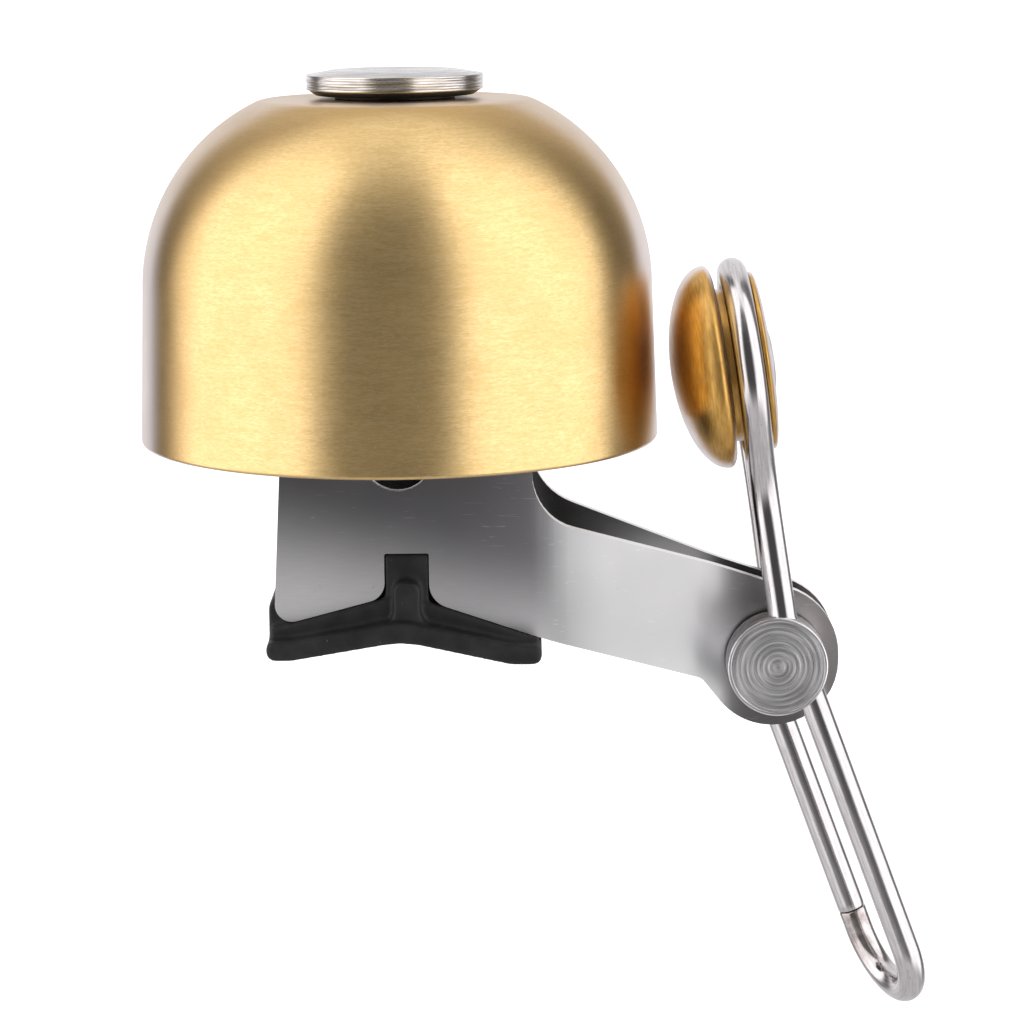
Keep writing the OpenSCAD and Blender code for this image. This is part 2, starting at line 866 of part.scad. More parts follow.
module spring_hub() {
    color(dark_steel)
        difference() {
            ring_on_pin(hub_out_r, hub_in_r, -hub_half, hub_half);
            translate([pivot_x - 0.3, spring_half - 0.3, pivot_z - 4])
                cube([0.6, 0.6, 3.2]);
        }
}

// Coils of the return spring with one leg resting on the anchor pin and one in the hub.
function coil_point(i) =
    let (
        a = spring_start + 360 * i / spring_steps,
        y = -spring_half + spring_pitch * i / spring_steps
    )
    [pivot_x + spring_r * cos(a), y, pivot_z + spring_r * sin(a)];

module torsion_spring() {
    color(dark_steel)
        swept(
            concat(
                [coil_point(0) + spring_leg * [-sin(spring_start), 0, cos(spring_start)]],
                [for (i = [0:coil_count]) coil_point(i)]
            ),
            spring_wire / 2, 8, 0
        );
}

module spring_anchor_pin() {
    color(steel)
        hinge_rod(anchor_x, anchor_z, anchor_r, -arm_out, arm_out, small);
}

bell_dome();
top_cap();
cap_washer();
inner_washer();
dome_post();
post_lock_washer();
post_nut();
bracket();
saddle_pad();
hammer_wire();
striker_head();
striker_back();
striker_rivet();
pivot_pin();
pivot_head_rear();
pivot_bushes();
pivot_washers();
spring_hub();
torsion_spring();
spring_anchor_pin();
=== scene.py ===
"""Looks of a bicycle bell with a sprung wire striker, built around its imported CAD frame.

Shapes are worked out in millimetres and turned into metres when a mesh is made. Turned pieces are
lathed, the lever and the spring are swept, the rubber saddle is remeshed and softened, and the
bracket keeps its CAD mesh with its sheared edges eased. Every material is a node tree.
"""

import json
import math

import bpy
import numpy as np
from mathutils import Matrix, Vector


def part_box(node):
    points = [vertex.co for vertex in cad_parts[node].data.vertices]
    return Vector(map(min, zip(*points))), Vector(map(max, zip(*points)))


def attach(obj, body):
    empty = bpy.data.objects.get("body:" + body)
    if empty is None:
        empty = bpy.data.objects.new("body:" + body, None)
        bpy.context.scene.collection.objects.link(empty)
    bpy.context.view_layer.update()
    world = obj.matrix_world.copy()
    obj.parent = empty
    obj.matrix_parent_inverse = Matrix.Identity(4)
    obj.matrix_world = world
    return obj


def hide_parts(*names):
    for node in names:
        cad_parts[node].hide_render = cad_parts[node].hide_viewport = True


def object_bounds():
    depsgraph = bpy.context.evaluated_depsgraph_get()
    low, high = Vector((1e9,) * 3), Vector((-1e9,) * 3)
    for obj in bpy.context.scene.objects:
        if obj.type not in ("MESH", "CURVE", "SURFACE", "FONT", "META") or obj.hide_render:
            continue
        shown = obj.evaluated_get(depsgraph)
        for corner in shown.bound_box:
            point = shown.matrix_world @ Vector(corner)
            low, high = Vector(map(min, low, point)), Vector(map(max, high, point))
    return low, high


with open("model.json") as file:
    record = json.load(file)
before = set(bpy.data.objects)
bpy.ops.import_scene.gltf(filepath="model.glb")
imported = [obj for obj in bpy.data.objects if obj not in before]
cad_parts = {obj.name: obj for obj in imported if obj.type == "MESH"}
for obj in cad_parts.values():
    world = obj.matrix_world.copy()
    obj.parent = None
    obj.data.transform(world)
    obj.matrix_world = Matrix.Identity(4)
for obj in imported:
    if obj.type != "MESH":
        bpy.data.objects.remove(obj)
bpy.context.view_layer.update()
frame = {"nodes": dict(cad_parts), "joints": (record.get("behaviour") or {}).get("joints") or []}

MM = 0.001
UV_LENGTH = 20.0  # millimetres of a profile or a wire for one unit of v


# ---------------------------------------------------------------- frame

def node_box(node):
    """Lowest and highest corner of a CAD node, in millimetres."""
    lo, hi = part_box(node)
    return lo / MM, hi / MM


hinge = Vector(frame["joints"][0]["pos_m"]) / MM
dome_lo, dome_hi = node_box("bell_dome")
cap_lo, cap_hi = node_box("top_cap")
disc_lo, disc_hi = node_box("pivot_pin")
rear_lo, _ = node_box("pivot_head_rear")


# ---------------------------------------------------------------- mesh helpers

def mesh_object(name, points, faces, uvs=None):
    """Smooth-shaded object from points in millimetres; uvs holds one pair for each face corner."""
    mesh = bpy.data.meshes.new(name)
    mesh.from_pydata([tuple(c * MM for c in p) for p in points], [], faces)
    if uvs is not None:
        layer = mesh.uv_layers.new(name="surface")
        layer.data.foreach_set("uv", np.array(uvs, np.float32).ravel())
    mesh.polygons.foreach_set("use_smooth", [True] * len(mesh.polygons))
    mesh.validate()
    mesh.update()
    piece = bpy.data.objects.new(name, mesh)
    bpy.context.scene.collection.objects.link(piece)
    return piece


def keep_flats_flat(piece):
    """Shading normals that follow the large faces, so that an eased edge doesn't bend its flats."""
    weighted = piece.modifiers.new("Flats", "WEIGHTED_NORMAL")
    weighted.mode = "FACE_AREA"
    weighted.weight = 60


def give_material(piece, material):
    piece.data.materials.clear()
    piece.data.materials.append(material)


def finish_piece(piece, body, slot, material, *replaced):
    """Hands a piece to its body, with its material and the CAD nodes that it stands for."""
    give_material(piece, material)
    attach(piece, body)
    if replaced:
        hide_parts(*replaced)


def eased(corners, steps=5, closed=True):
    """Outline whose corners (x, y, radius) are rounded; a radius of 0 keeps a corner sharp."""
    out = []
    count = len(corners)
    for i, corner in enumerate(corners):
        here = Vector(corner[:2])
        radius = corner[2] if len(corner) > 2 else 0
        ends = not closed and i in (0, count - 1)
        if radius <= 0 or ends:
            out.append(tuple(here))
            continue
        before = Vector(corners[i - 1][:2]) - here
        after = Vector(corners[(i + 1) % count][:2]) - here
        half = before.angle(after) / 2
        reach = min(radius / math.tan(half), before.length * 0.49, after.length * 0.49)
        radius = reach * math.tan(half)
        inwards = (before.normalized() + after.normalized()).normalized()
        middle = here + inwards * radius / math.sin(half)
        first = here + before.normalized() * reach - middle
        last = here + after.normalized() * reach - middle
        turn = first.angle_signed(last)
        for k in range(steps + 1):
            spoke = first.copy()
            spoke.rotate(Matrix.Rotation(-turn * k / steps, 2))
            out.append(tuple(middle + spoke))
    return out


def arc(centre, radius, start, end, steps):
    """Points on an arc between two angles in degrees."""
    out = []
    for k in range(steps + 1):
        a = math.radians(start + (end - start) * k / steps)
        out.append((centre[0] + radius * math.cos(a), centre[1] + radius * math.sin(a)))
    return out


def lathe(name, profile, sides=192, place=None, closed=True, radius_at=None):
    """Body turned about its own Z from (radius, height) points.

    radius_at(angle, radius, height) may change the radius round the turn, for a hexagon or a
    thread. The UV map is (turn, length of profile / UV_LENGTH)."""
    points = []
    rings = []
    for radius, height in profile:
        if radius < 1e-6:
            rings.append([len(points)] * sides)
            points.append((0, 0, height))
            continue
        rings.append(list(range(len(points), len(points) + sides)))
        for k in range(sides):
            a = 2 * math.pi * k / sides
            r = radius_at(a, radius, height) if radius_at else radius
            points.append((r * math.cos(a), r * math.sin(a), height))
    lengths = [0.0]
    for p, q in zip(profile, profile[1:] + profile[:1]):
        lengths.append(lengths[-1] + math.dist(p, q))
    faces = []
    uvs = []
    for i in range(len(profile) if closed else len(profile) - 1):
        j = (i + 1) % len(profile)
        for k in range(sides):
            m = (k + 1) % sides
            loop = [
                (rings[i][k], k, lengths[i]), (rings[i][m], k + 1, lengths[i]),
                (rings[j][m], k + 1, lengths[i + 1]), (rings[j][k], k, lengths[i + 1]),
            ]
            kept = []
            for corner in loop:
                if corner[0] not in [c[0] for c in kept]:
                    kept.append(corner)
            if len(kept) > 2:
                faces.append([c[0] for c in kept])
                uvs.extend((c[1] / sides, c[2] / UV_LENGTH) for c in kept)
    piece = mesh_object(name, points, faces, uvs)
    if place is not None:
        piece.matrix_world = place
    keep_flats_flat(piece)
    return piece


def swept(name, path, radius, sides=32, end_ease=0.1):
    """Round bar along a line of points, with eased ends.

    The UV map is (turn, length of bar / UV_LENGTH)."""
    path = [Vector(p) for p in path]
    last = len(path) - 1
    tangents = [(path[min(i + 1, last)] - path[max(i - 1, 0)]).normalized()
        for i in range(last + 1)]
    normal = tangents[0].cross(Vector((1, 0.2, 0.1))).normalized()
    points = []
    rows = []
    walked = 0.0
    for i, point in enumerate(path):
        if i:
            walked += (point - path[i - 1]).length
        normal = (normal - tangents[i] * normal.dot(tangents[i])).normalized()
        side = tangents[i].cross(normal)
        stations = [(0.0, radius)]
        if i == 0:
            stations = [(end_ease * (1 - math.sin(a)), radius - end_ease * (1 - math.cos(a)))
                for a in (math.pi / 2, math.pi / 4, 0.0)]
        if i == last:
            stations = [(-end_ease * (1 - math.sin(a)), radius - end_ease * (1 - math.cos(a)))
                for a in (0.0, math.pi / 4, math.pi / 2)]
        for shift, r in stations:
            rows.append(walked + shift)
            for k in range(sides):
                a = 2 * math.pi * k / sides
                spoke = normal * math.cos(a) + side * math.sin(a)
                points.append(tuple(point + tangents[i] * shift + spoke * r))
    faces = [list(range(sides))[::-1]]
    uvs = [(k / sides, 0.0) for k in range(sides)][::-1]
    for i in range(len(rows) - 1):
        for k in range(sides):
            m = (k + 1) % sides
            faces.append([i * sides + k, i * sides + m, (i + 1) * sides + m, (i + 1) * sides + k])
            here, ahead = rows[i] / UV_LENGTH, rows[i + 1] / UV_LENGTH
            uvs.extend([(k / sides, here), ((k + 1) / sides, here),
                ((k + 1) / sides, ahead), (k / sides, ahead)])
    faces.append([(len(rows) - 1) * sides + k for k in range(sides)])
    uvs.extend((k / sides, rows[-1] / UV_LENGTH) for k in range(sides))
    piece = mesh_object(name, points, faces, uvs)
    keep_flats_flat(piece)
    return piece


def facing(point, axis):
    """Placement of a turned body: its Z lies along axis and its origin at point, in millimetres."""
    turn = Vector(axis).to_track_quat("Z", "Y").to_matrix().to_4x4()
    return Matrix.Translation(Vector(point) * MM) @ turn


# ---------------------------------------------------------------- material helpers

class Nodes:
    """Short hand for building a node tree."""

    def __init__(self, tree):
        self.tree = tree

    def add(self, kind, inputs=(), **settings):
        node = self.tree.nodes.new(kind)
        for key, value in settings.items():
            setattr(node, key, value)
        for socket, value in dict(inputs).items():
            self.put(node.inputs[socket], value)
        return node

    def put(self, socket, value):
        if isinstance(value, bpy.types.NodeSocket):
            self.tree.links.new(value, socket)
        else:
            if socket.type == "RGBA" and len(value) == 3:
                value = (*value, 1)
            socket.default_value = value

    def math(self, operation, a, b=0.0):
        return self.add("ShaderNodeMath", {0: a, 1: b}, operation=operation).outputs[0]

    def vector(self, operation, a, b=(0, 0, 0)):
        return self.add("ShaderNodeVectorMath", {0: a, 1: b}, operation=operation).outputs["Vector"]

    def ramp(self, value, low, high, out_low=0.0, out_high=1.0):
        """Smooth step of value between low and high."""
        node = self.add("ShaderNodeMapRange",
            {"Value": value, "From Min": low, "From Max": high,
                "To Min": out_low, "To Max": out_high},
            interpolation_type="SMOOTHSTEP")
        return node.outputs["Result"]

    def mix(self, factor, a, b):
        """Colour a where factor is 0 and colour b where it is 1."""
        factor_in, a_in, b_in, colour_out = 0, 6, 7, 2
        node = self.add("ShaderNodeMix", {factor_in: factor, a_in: a, b_in: b}, data_type="RGBA")
        return node.outputs[colour_out]

    def noise(self, vector, scale=1.0, detail=2.0, roughness=0.5, distortion=0.0):
        node = self.add("ShaderNodeTexNoise",
            {"Vector": vector, "Scale": scale, "Detail": detail, "Roughness": roughness,
                "Distortion": distortion})
        return node.outputs["Fac"]

    def coordinates(self, kind="Object"):
        return self.add("ShaderNodeTexCoord").outputs[kind]

    def in_mm(self, scale=(1, 1, 1)):
        """Object coordinates in millimetres, each axis times its scale."""
        return self.vector("MULTIPLY", self.coordinates(), tuple(s / MM for s in scale))

    def parts(self, vector):
        node = self.add("ShaderNodeSeparateXYZ", {0: vector})
        return node.outputs[0], node.outputs[1], node.outputs[2]

    def joined(self, x, y, z):
        return self.add("ShaderNodeCombineXYZ", {0: x, 1: y, 2: z}).outputs[0]

    def bump(self, height, depth_mm, strength=1.0, under=None):
        inputs = {"Height": height, "Distance": depth_mm * MM, "Strength": strength}
        if under is not None:
            inputs["Normal"] = under
        return self.add("ShaderNodeBump", inputs).outputs["Normal"]

    def edge_on(self, low, high):
        """1 where the surface turns away from the viewer, from low to high."""
        facing_away = self.add("ShaderNodeLayerWeight", {"Blend": 0.5}).outputs["Facing"]
        return self.ramp(facing_away, low, high)

    def turned_tangent(self):
        """World direction round the piece's own Z, along which a turned surface is cut."""
        across = self.vector("CROSS_PRODUCT", (0, 0, 1), self.coordinates())
        node = self.add("ShaderNodeVectorTransform", {0: across}, vector_type="VECTOR",
            convert_from="OBJECT", convert_to="WORLD")
        return self.vector("NORMALIZE", node.outputs[0])

    def path_coordinates(self, along, across):
        """Lines that run round the turn: slow in x and y, quick along the profile."""
        x, y, _ = self.parts(self.in_mm())
        _, v, _ = self.parts(self.coordinates("UV"))
        length = self.math("MULTIPLY", v, UV_LENGTH)
        return self.joined(self.math("MULTIPLY", x, along), self.math("MULTIPLY", y, along),
            self.math("MULTIPLY", length, across))


class Look(Nodes):
    """A Principled material and the nodes that drive it."""

    def __init__(self, name):
        self.material = bpy.data.materials.new(name)
        self.material.use_nodes = True
        super().__init__(self.material.node_tree)
        self.shader = next(n for n in self.tree.nodes if n.type == "BSDF_PRINCIPLED")

    def set(self, **values):
        for key, value in values.items():
            self.put(self.shader.inputs[key.replace("_", " ")], value)

    def tint(self, colour, share, mask, other):
        """Colour with share of another one where mask is 1."""
        return self.mix(self.math("MULTIPLY", mask, share), colour, other)


# ---------------------------------------------------------------- materials

# Heights in the bell, in millimetres, over which the painted pale reflection at its outline fades
# towards the shoulders.
PAINTED_PALE_REFLECTION_FADE = (14.0, 24.0)


def brushed_brass():
    """Pale brushed brass: short fine strokes round the bell, tiny bright sparks and dark pits.

    Seen edge on it first takes a painted dark brown reflection and then, at the outline, a painted
    pale reflection."""
    look = Look("bell_brass")
    fine = look.noise(look.path_coordinates(2.2, 13.0), detail=3.0, roughness=0.65)
    coarse = look.noise(look.path_coordinates(0.5, 4.0), detail=4.0, roughness=0.6)
    cloud = look.noise(look.in_mm((0.25, 0.25, 0.25)), detail=3.0)
    grit = look.noise(look.path_coordinates(4.5, 9.0), detail=2.0, roughness=0.7)
    lines = look.math("ADD", look.math("MULTIPLY", fine, 0.65), look.math("MULTIPLY", coarse, 0.35))
    tone = look.ramp(lines, 0.36, 0.64)
    colour = look.mix(tone, (0.70, 0.485, 0.20), (0.86, 0.63, 0.31))
    colour = look.mix(look.ramp(cloud, 0.35, 0.7, 0.0, 0.3), colour, (0.74, 0.52, 0.22))
    pits = look.ramp(grit, 0.66, 0.74)
    colour = look.tint(colour, 0.4, pits, (0.42, 0.27, 0.10))
    sparks = look.ramp(grit, 0.32, 0.25)
    colour = look.tint(colour, 0.75, sparks, (1.0, 0.92, 0.72))
    # painted dark brown reflection where the bell turns edge on
    colour = look.tint(colour, 0.6, look.edge_on(0.36, 0.52), (0.46, 0.28, 0.10))
    _, _, z = look.parts(look.in_mm())
    # painted pale reflection at the outline, strong on the skirt and fading towards the shoulders
    pale = look.ramp(z, *PAINTED_PALE_REFLECTION_FADE, 0.85, 0.35)
    colour = look.tint(colour, pale, look.edge_on(0.60, 0.76), (0.86, 0.79, 0.79))
    height = look.math("ADD", lines, look.math("MULTIPLY", pits, -0.3))
    look.set(Base_Color=colour, Metallic=1.0, Anisotropic=0.7, Anisotropic_Rotation=0.25,
        Roughness=look.ramp(cloud, 0.3, 0.7, 0.32, 0.38),
        Normal=look.bump(height, 0.009, 0.6), Tangent=look.turned_tangent())
    return look.material


def polished_brass():
    """Deeper, cloudy brass of the striker, with small dark spots and a painted pale reflection at
    its outline.
    """
    look = Look("striker_brass")
    lines = look.noise(look.path_coordinates(0.8, 7.0), detail=3.0, roughness=0.6)
    cloud = look.noise(look.in_mm((0.7, 0.7, 0.7)), detail=4.0)
    spots = look.ramp(look.noise(look.in_mm((2.6, 2.6, 2.6)), detail=2.0), 0.70, 0.75)
    colour = look.mix(look.ramp(lines, 0.35, 0.65), (0.60, 0.33, 0.075), (0.76, 0.46, 0.14))
    colour = look.mix(look.ramp(cloud, 0.4, 0.75, 0.0, 0.5), colour, (0.55, 0.34, 0.12))
    colour = look.tint(colour, 0.35, spots, (0.30, 0.20, 0.10))
    # painted pale reflection where the striker turns edge on
    colour = look.mix(look.edge_on(0.60, 0.84), colour, (0.86, 0.79, 0.80))
    look.set(Base_Color=colour, Metallic=1.0, Anisotropic=0.4, Anisotropic_Rotation=0.25,
        Roughness=look.ramp(cloud, 0.3, 0.7, 0.36, 0.43),
        Normal=look.bump(lines, 0.006, 0.4), Tangent=look.turned_tangent())
    return look.material


def turned_steel(name, groove, ridge, roughness):
    """Steel with fine lathe lines in two tones, groove and ridge, and a few pale scratches."""
    look = Look(name)
    fine = look.noise(look.path_coordinates(0.35, 14.0), detail=2.0, roughness=0.6)
    coarse = look.noise(look.path_coordinates(0.3, 3.2), detail=3.0)
    lines = look.math("ADD", look.math("MULTIPLY", fine, 0.65), look.math("MULTIPLY", coarse, 0.35))
    streaks = look.noise(look.in_mm((3.2, 0.5, 3.2)), detail=4.0, distortion=1.2)
    scratches = look.ramp(streaks, 0.70, 0.74)
    colour = look.mix(look.ramp(lines, 0.38, 0.62), groove, ridge)
    colour = look.tint(colour, 0.5, scratches, (0.85, 0.85, 0.86))
    look.set(Base_Color=colour, Metallic=1.0, Anisotropic=0.8, Anisotropic_Rotation=0.25,
        Roughness=look.ramp(coarse, 0.3, 0.7, roughness, roughness + 0.07),
        Normal=look.bump(lines, 0.010, 0.6), Tangent=look.turned_tangent())
    return look.material


def bend_run_in(look, x, start, middle, end, slope):
    """Height whose slope grows evenly from start to middle and dies out from middle to end."""
    def past(low, high):
        within = look.math("MINIMUM", look.math("MAXIMUM", x, low), high)
        return look.math("SUBTRACT", within, low)

    rise = past(start, middle)
    fall = past(middle, end)
    rising = look.math("MULTIPLY", look.math("MULTIPLY", rise, rise), slope / (middle - start) / 2)
    falling = look.math("MULTIPLY", look.math("MULTIPLY", fall, fall), -slope / (end - middle) / 2)
    return look.math("ADD", look.math("ADD", rising, falling), look.math("MULTIPLY", fall, slope))


# The bracket's painted light and shade by place, in millimetres of x, or of z + CHEEK_LEAN * x for
# the cheek.
CHEEK_LEAN = 0.3
CHEEK_PAINTED_SHADE = (-14.5, -3.5)
ARM_TAKES_OVER = (9.5, 13.0)
ARM_PAINTED_LIGHT = (11.0, 16.5)
HEAD_TAKES_OVER = (24.0, 27.0)
HEAD_DARK_REFLECTION_FADES = (29.0, 33.0)
# Start, middle and end of the soft runs into the two bends, and the slope at the middle.
FIRST_BEND = (0.0, 10.0, 12.7, 0.15)
SECOND_BEND = (22.4, 24.6, 28.0, -0.12)
CHEEK_BOW = (-22.0, -2.0)  # lowest and highest z of the cheeks' bow


def satin_steel():
    """Pressed sheet with painted shade high on the cheek, painted light along the arm and a painted
    dark reflection at the hinge.

    The normals run softly into both bends, the cheeks bow a little downwards, and the cut edges
    carry a painted highlight."""
    look = Look("sheet_steel")
    x, _, z = look.parts(look.in_mm())
    grain = look.noise(look.in_mm((0.6, 3.0, 7.0)), detail=3.0, roughness=0.6)
    cloud = look.noise(look.in_mm((0.15, 0.15, 0.15)), detail=2.0)
    specks = look.ramp(look.noise(look.in_mm((2.2, 2.2, 2.2)), detail=2.0), 0.72, 0.78)
    strands = look.noise(look.in_mm((0.5, 2.0, 6.0)), detail=3.0, distortion=0.8)
    hairs = look.ramp(strands, 0.66, 0.72)
    colour = look.mix(look.ramp(grain, 0.3, 0.7), (0.93, 0.925, 0.935), (0.98, 0.975, 0.985))
    slant = look.math("ADD", z, look.math("MULTIPLY", x, CHEEK_LEAN))
    # painted shade high on the cheek, where the dome overhangs it
    colour = look.mix(look.ramp(slant, *CHEEK_PAINTED_SHADE), colour, (0.25, 0.245, 0.255))
    # painted light along the arm, brightening towards the bend
    arm = look.mix(look.ramp(x, *ARM_PAINTED_LIGHT), (0.385, 0.385, 0.39), (0.60, 0.60, 0.605))
    colour = look.mix(look.ramp(x, *ARM_TAKES_OVER), colour, arm)
    # painted dark reflection at the hinge, fading further out
    head = look.mix(look.ramp(x, *HEAD_DARK_REFLECTION_FADES), (0.24, 0.23, 0.235), (0.42, 0.385, 0.385))
    colour = look.mix(look.ramp(x, *HEAD_TAKES_OVER, 0.0, 0.9), colour, head)
    _, across, _ = look.parts(look.coordinates("Normal"))
    # painted highlight on the sheet's edges, where the normal turns away from the cheek
    cut = look.ramp(look.math("ABSOLUTE", across), 0.8, 0.45)
    colour = look.mix(cut, colour, (0.93, 0.925, 0.93))
    colour = look.tint(colour, 0.2, specks, (0.35, 0.33, 0.33))
    colour = look.tint(colour, 0.25, hairs, (0.82, 0.82, 0.83))
    height = look.math("MULTIPLY", bend_run_in(look, x, *FIRST_BEND), -1.0)
    height = look.math("ADD", height, bend_run_in(look, x, *SECOND_BEND))
    height = look.math("ADD", height, look.ramp(z, *CHEEK_BOW, -2.1, 0.0))
    look.set(Base_Color=colour, Metallic=1.0,
        Roughness=look.ramp(cloud, 0.3, 0.7, 0.34, 0.40),
        Normal=look.bump(grain, 0.003, 0.35, look.bump(height, 1.0)))
    return look.material


SEAM_BURN = (0.5, 8.0)  # millimetres of wire from the seam over which the burnt colour fades
PAINTED_CORE_FADE = (-42.0, -20.0)  # heights between which the painted dark reflection down the wire's middle comes in


def wire_steel():
    """Bright drawn wire with a painted dark reflection down its middle, stains and nicks; burnt
    brown near its seam.
    """
    look = Look("wire_steel")
    u, v, _ = look.parts(look.coordinates("UV"))
    angle = look.math("MULTIPLY", u, 2 * math.pi)
    length = look.math("MULTIPLY", v, UV_LENGTH)
    ring = look.joined(look.math("MULTIPLY", look.math("COSINE", angle), 2.6),
        look.math("MULTIPLY", look.math("SINE", angle), 2.6), look.math("MULTIPLY", length, 0.16))
    drawn = look.noise(ring, scale=2.2, detail=3.0, roughness=0.65)
    stain = look.noise(look.in_mm((0.6, 0.6, 0.6)), detail=4.0, roughness=0.6)
    dents = look.noise(look.in_mm((2.5, 2.5, 2.5)), detail=2.0, distortion=0.6)
    nicks = look.ramp(dents, 0.70, 0.76)
    colour = look.mix(look.ramp(drawn, 0.35, 0.65), (0.54, 0.515, 0.525), (0.69, 0.665, 0.675))
    colour = look.mix(look.ramp(stain, 0.5, 0.8, 0.0, 0.45), colour, (0.44, 0.40, 0.40))
    near_seam = look.ramp(look.math("SUBTRACT", WIRE_LENGTH, length), *SEAM_BURN, 1.0, 0.0)
    burnt = look.math("MULTIPLY", near_seam, look.ramp(stain, 0.35, 0.65))
    colour = look.tint(colour, 0.8, burnt, (0.30, 0.24, 0.21))
    colour = look.tint(colour, 0.5, nicks, (0.30, 0.28, 0.28))
    _, _, z = look.parts(look.in_mm())
    # painted dark reflection down the middle of the wire, weaker low on the loop
    painted_dark_core = look.math("SUBTRACT", 1.0, look.edge_on(0.01, 0.10))
    painted_dark_core = look.math("MULTIPLY", painted_dark_core, look.ramp(z, *PAINTED_CORE_FADE, 0.15, 1.0))
    colour = look.mix(painted_dark_core, colour, (0.26, 0.245, 0.245))
    look.set(Base_Color=colour, Metallic=1.0,
        Roughness=look.ramp(drawn, 0.3, 0.7, 0.12, 0.20),
        Normal=look.bump(look.math("SUBTRACT", drawn, nicks), 0.006, 0.5))
    return look.material


def plain_steel():
    """Dull, cloudy steel of the pieces inside."""
    look = Look("hidden_steel")
    cloud = look.noise(look.in_mm((0.8, 0.8, 0.8)), detail=4.0)
    fine = look.noise(look.in_mm((5, 5, 5)), detail=2.0)
    colour = look.mix(look.ramp(cloud, 0.3, 0.7), (0.36, 0.355, 0.36), (0.52, 0.51, 0.50))
    look.set(Base_Color=colour, Metallic=1.0, Roughness=look.ramp(fine, 0.3, 0.7, 0.32, 0.48),
        Normal=look.bump(fine, 0.006, 0.4))
    return look.material


def bronze():
    """Sintered bronze with open pores."""
    look = Look("bush_bronze")
    cloud = look.noise(look.in_mm((1.4, 1.4, 1.4)), detail=4.0)
    pores = look.ramp(look.noise(look.in_mm((8, 8, 8)), detail=1.0), 0.64, 0.72)
    colour = look.mix(look.ramp(cloud, 0.3, 0.7), (0.42, 0.25, 0.10), (0.60, 0.40, 0.18))
    colour = look.tint(colour, 0.7, pores, (0.12, 0.08, 0.05))
    look.set(Base_Color=colour, Metallic=1.0, Roughness=0.42, Normal=look.bump(pores, -0.01, 0.5))
    return look.material


def rubber():
    """Matt black rubber with patches of pale dust."""
    look = Look("saddle_rubber")
    fine = look.noise(look.in_mm((7, 7, 7)), detail=2.0)
    cloud = look.noise(look.in_mm((0.5, 0.5, 0.5)), detail=3.0)
    motes = look.noise(look.in_mm((3.2, 3.2, 3.2)), detail=2.0, roughness=0.7)
    dust = look.ramp(motes, 0.735, 0.76)
    patches = look.ramp(look.noise(look.in_mm((0.35, 0.35, 0.35)), detail=2.0), 0.45, 0.6)
    dust = look.math("MULTIPLY", dust, patches)
    colour = look.mix(look.ramp(cloud, 0.3, 0.7), (0.016, 0.016, 0.017), (0.029, 0.029, 0.030))
    colour = look.tint(colour, 0.5, dust, (0.32, 0.32, 0.33))
    look.set(Base_Color=colour, Roughness=look.ramp(cloud, 0.3, 0.7, 0.52, 0.64),
        Specular_IOR_Level=0.36, Normal=look.bump(fine, 0.012, 0.35))
    return look.material


def black_plastic():
    """Near-black washer material with a faint grain."""
    look = Look("washer_plastic")
    fine = look.noise(look.in_mm((5, 5, 5)), detail=2.0)
    colour = look.mix(look.ramp(fine, 0.3, 0.7), (0.010, 0.0095, 0.009), (0.024, 0.021, 0.020))
    look.set(Base_Color=colour, Roughness=look.ramp(fine, 0.3, 0.7, 0.35, 0.5),
        Normal=look.bump(fine, 0.008, 0.4))
    return look.material


# ---------------------------------------------------------------- bell: dome, cap and stack

DOME_WALL = 1.4
SHOULDER_RADIUS = 15.75
FLAT_RADIUS = 10.3
WALL_DRAFT = 0.4
HOLE_RADIUS = 2.5
CREASE_ROUND = 3.5
RIM_ROUND = 0.3
HOLE_ROUND = 0.15
SHOULDER_STEPS = 40
WALL_STEPS = 12


def build_dome(brass):
    """One wall all round: a slightly flared skirt, a round shoulder, a flat top and a stud hole."""
    rim_r = dome_hi.x
    rim_z = dome_lo.z
    top_z = dome_hi.z
    wall_r = rim_r - WALL_DRAFT
    centre_r = wall_r - SHOULDER_RADIUS
    centre_z = top_z - math.sqrt(SHOULDER_RADIUS ** 2 - (FLAT_RADIUS - centre_r) ** 2)
    inner_shoulder = SHOULDER_RADIUS - DOME_WALL
    under_z = top_z - DOME_WALL
    outer_end = math.degrees(math.asin((top_z - centre_z) / SHOULDER_RADIUS))
    inner_end = math.degrees(math.asin((under_z - centre_z) / inner_shoulder))
    outer = arc((centre_r, centre_z), SHOULDER_RADIUS, 0, outer_end, SHOULDER_STEPS)
    inner = arc((centre_r, centre_z), inner_shoulder, inner_end, 0, SHOULDER_STEPS)
    crease = eased([outer[-3], (*outer[-1], CREASE_ROUND), (FLAT_RADIUS - 3, top_z)],
        6, closed=False)[1:-1]
    wall = [(rim_r + (wall_r - rim_r) * k / WALL_STEPS, rim_z + (centre_z - rim_z) * k / WALL_STEPS)
        for k in range(1, WALL_STEPS)]
    rim = eased([
        (wall_r - DOME_WALL, centre_z), (rim_r - DOME_WALL, rim_z, RIM_ROUND),
        (rim_r, rim_z, RIM_ROUND), (wall_r, centre_z)], 5, closed=False)[1:-1]
    hole = eased([
        (5, top_z), (HOLE_RADIUS, top_z, HOLE_ROUND), (HOLE_RADIUS, under_z, HOLE_ROUND),
        (5, under_z)], 3, closed=False)[1:-1]
    profile = rim + wall[1:] + outer[:-2] + crease
    profile += [(FLAT_RADIUS - 3.2, top_z), (6.5, top_z)] + hole
    profile += [(5, under_z), (inner[0][0] - 1, under_z)] + inner
    piece = lathe("brass_dome", profile, sides=256)
    finish_piece(piece, "bell_body", "bell_brass", brass, "bell_dome")


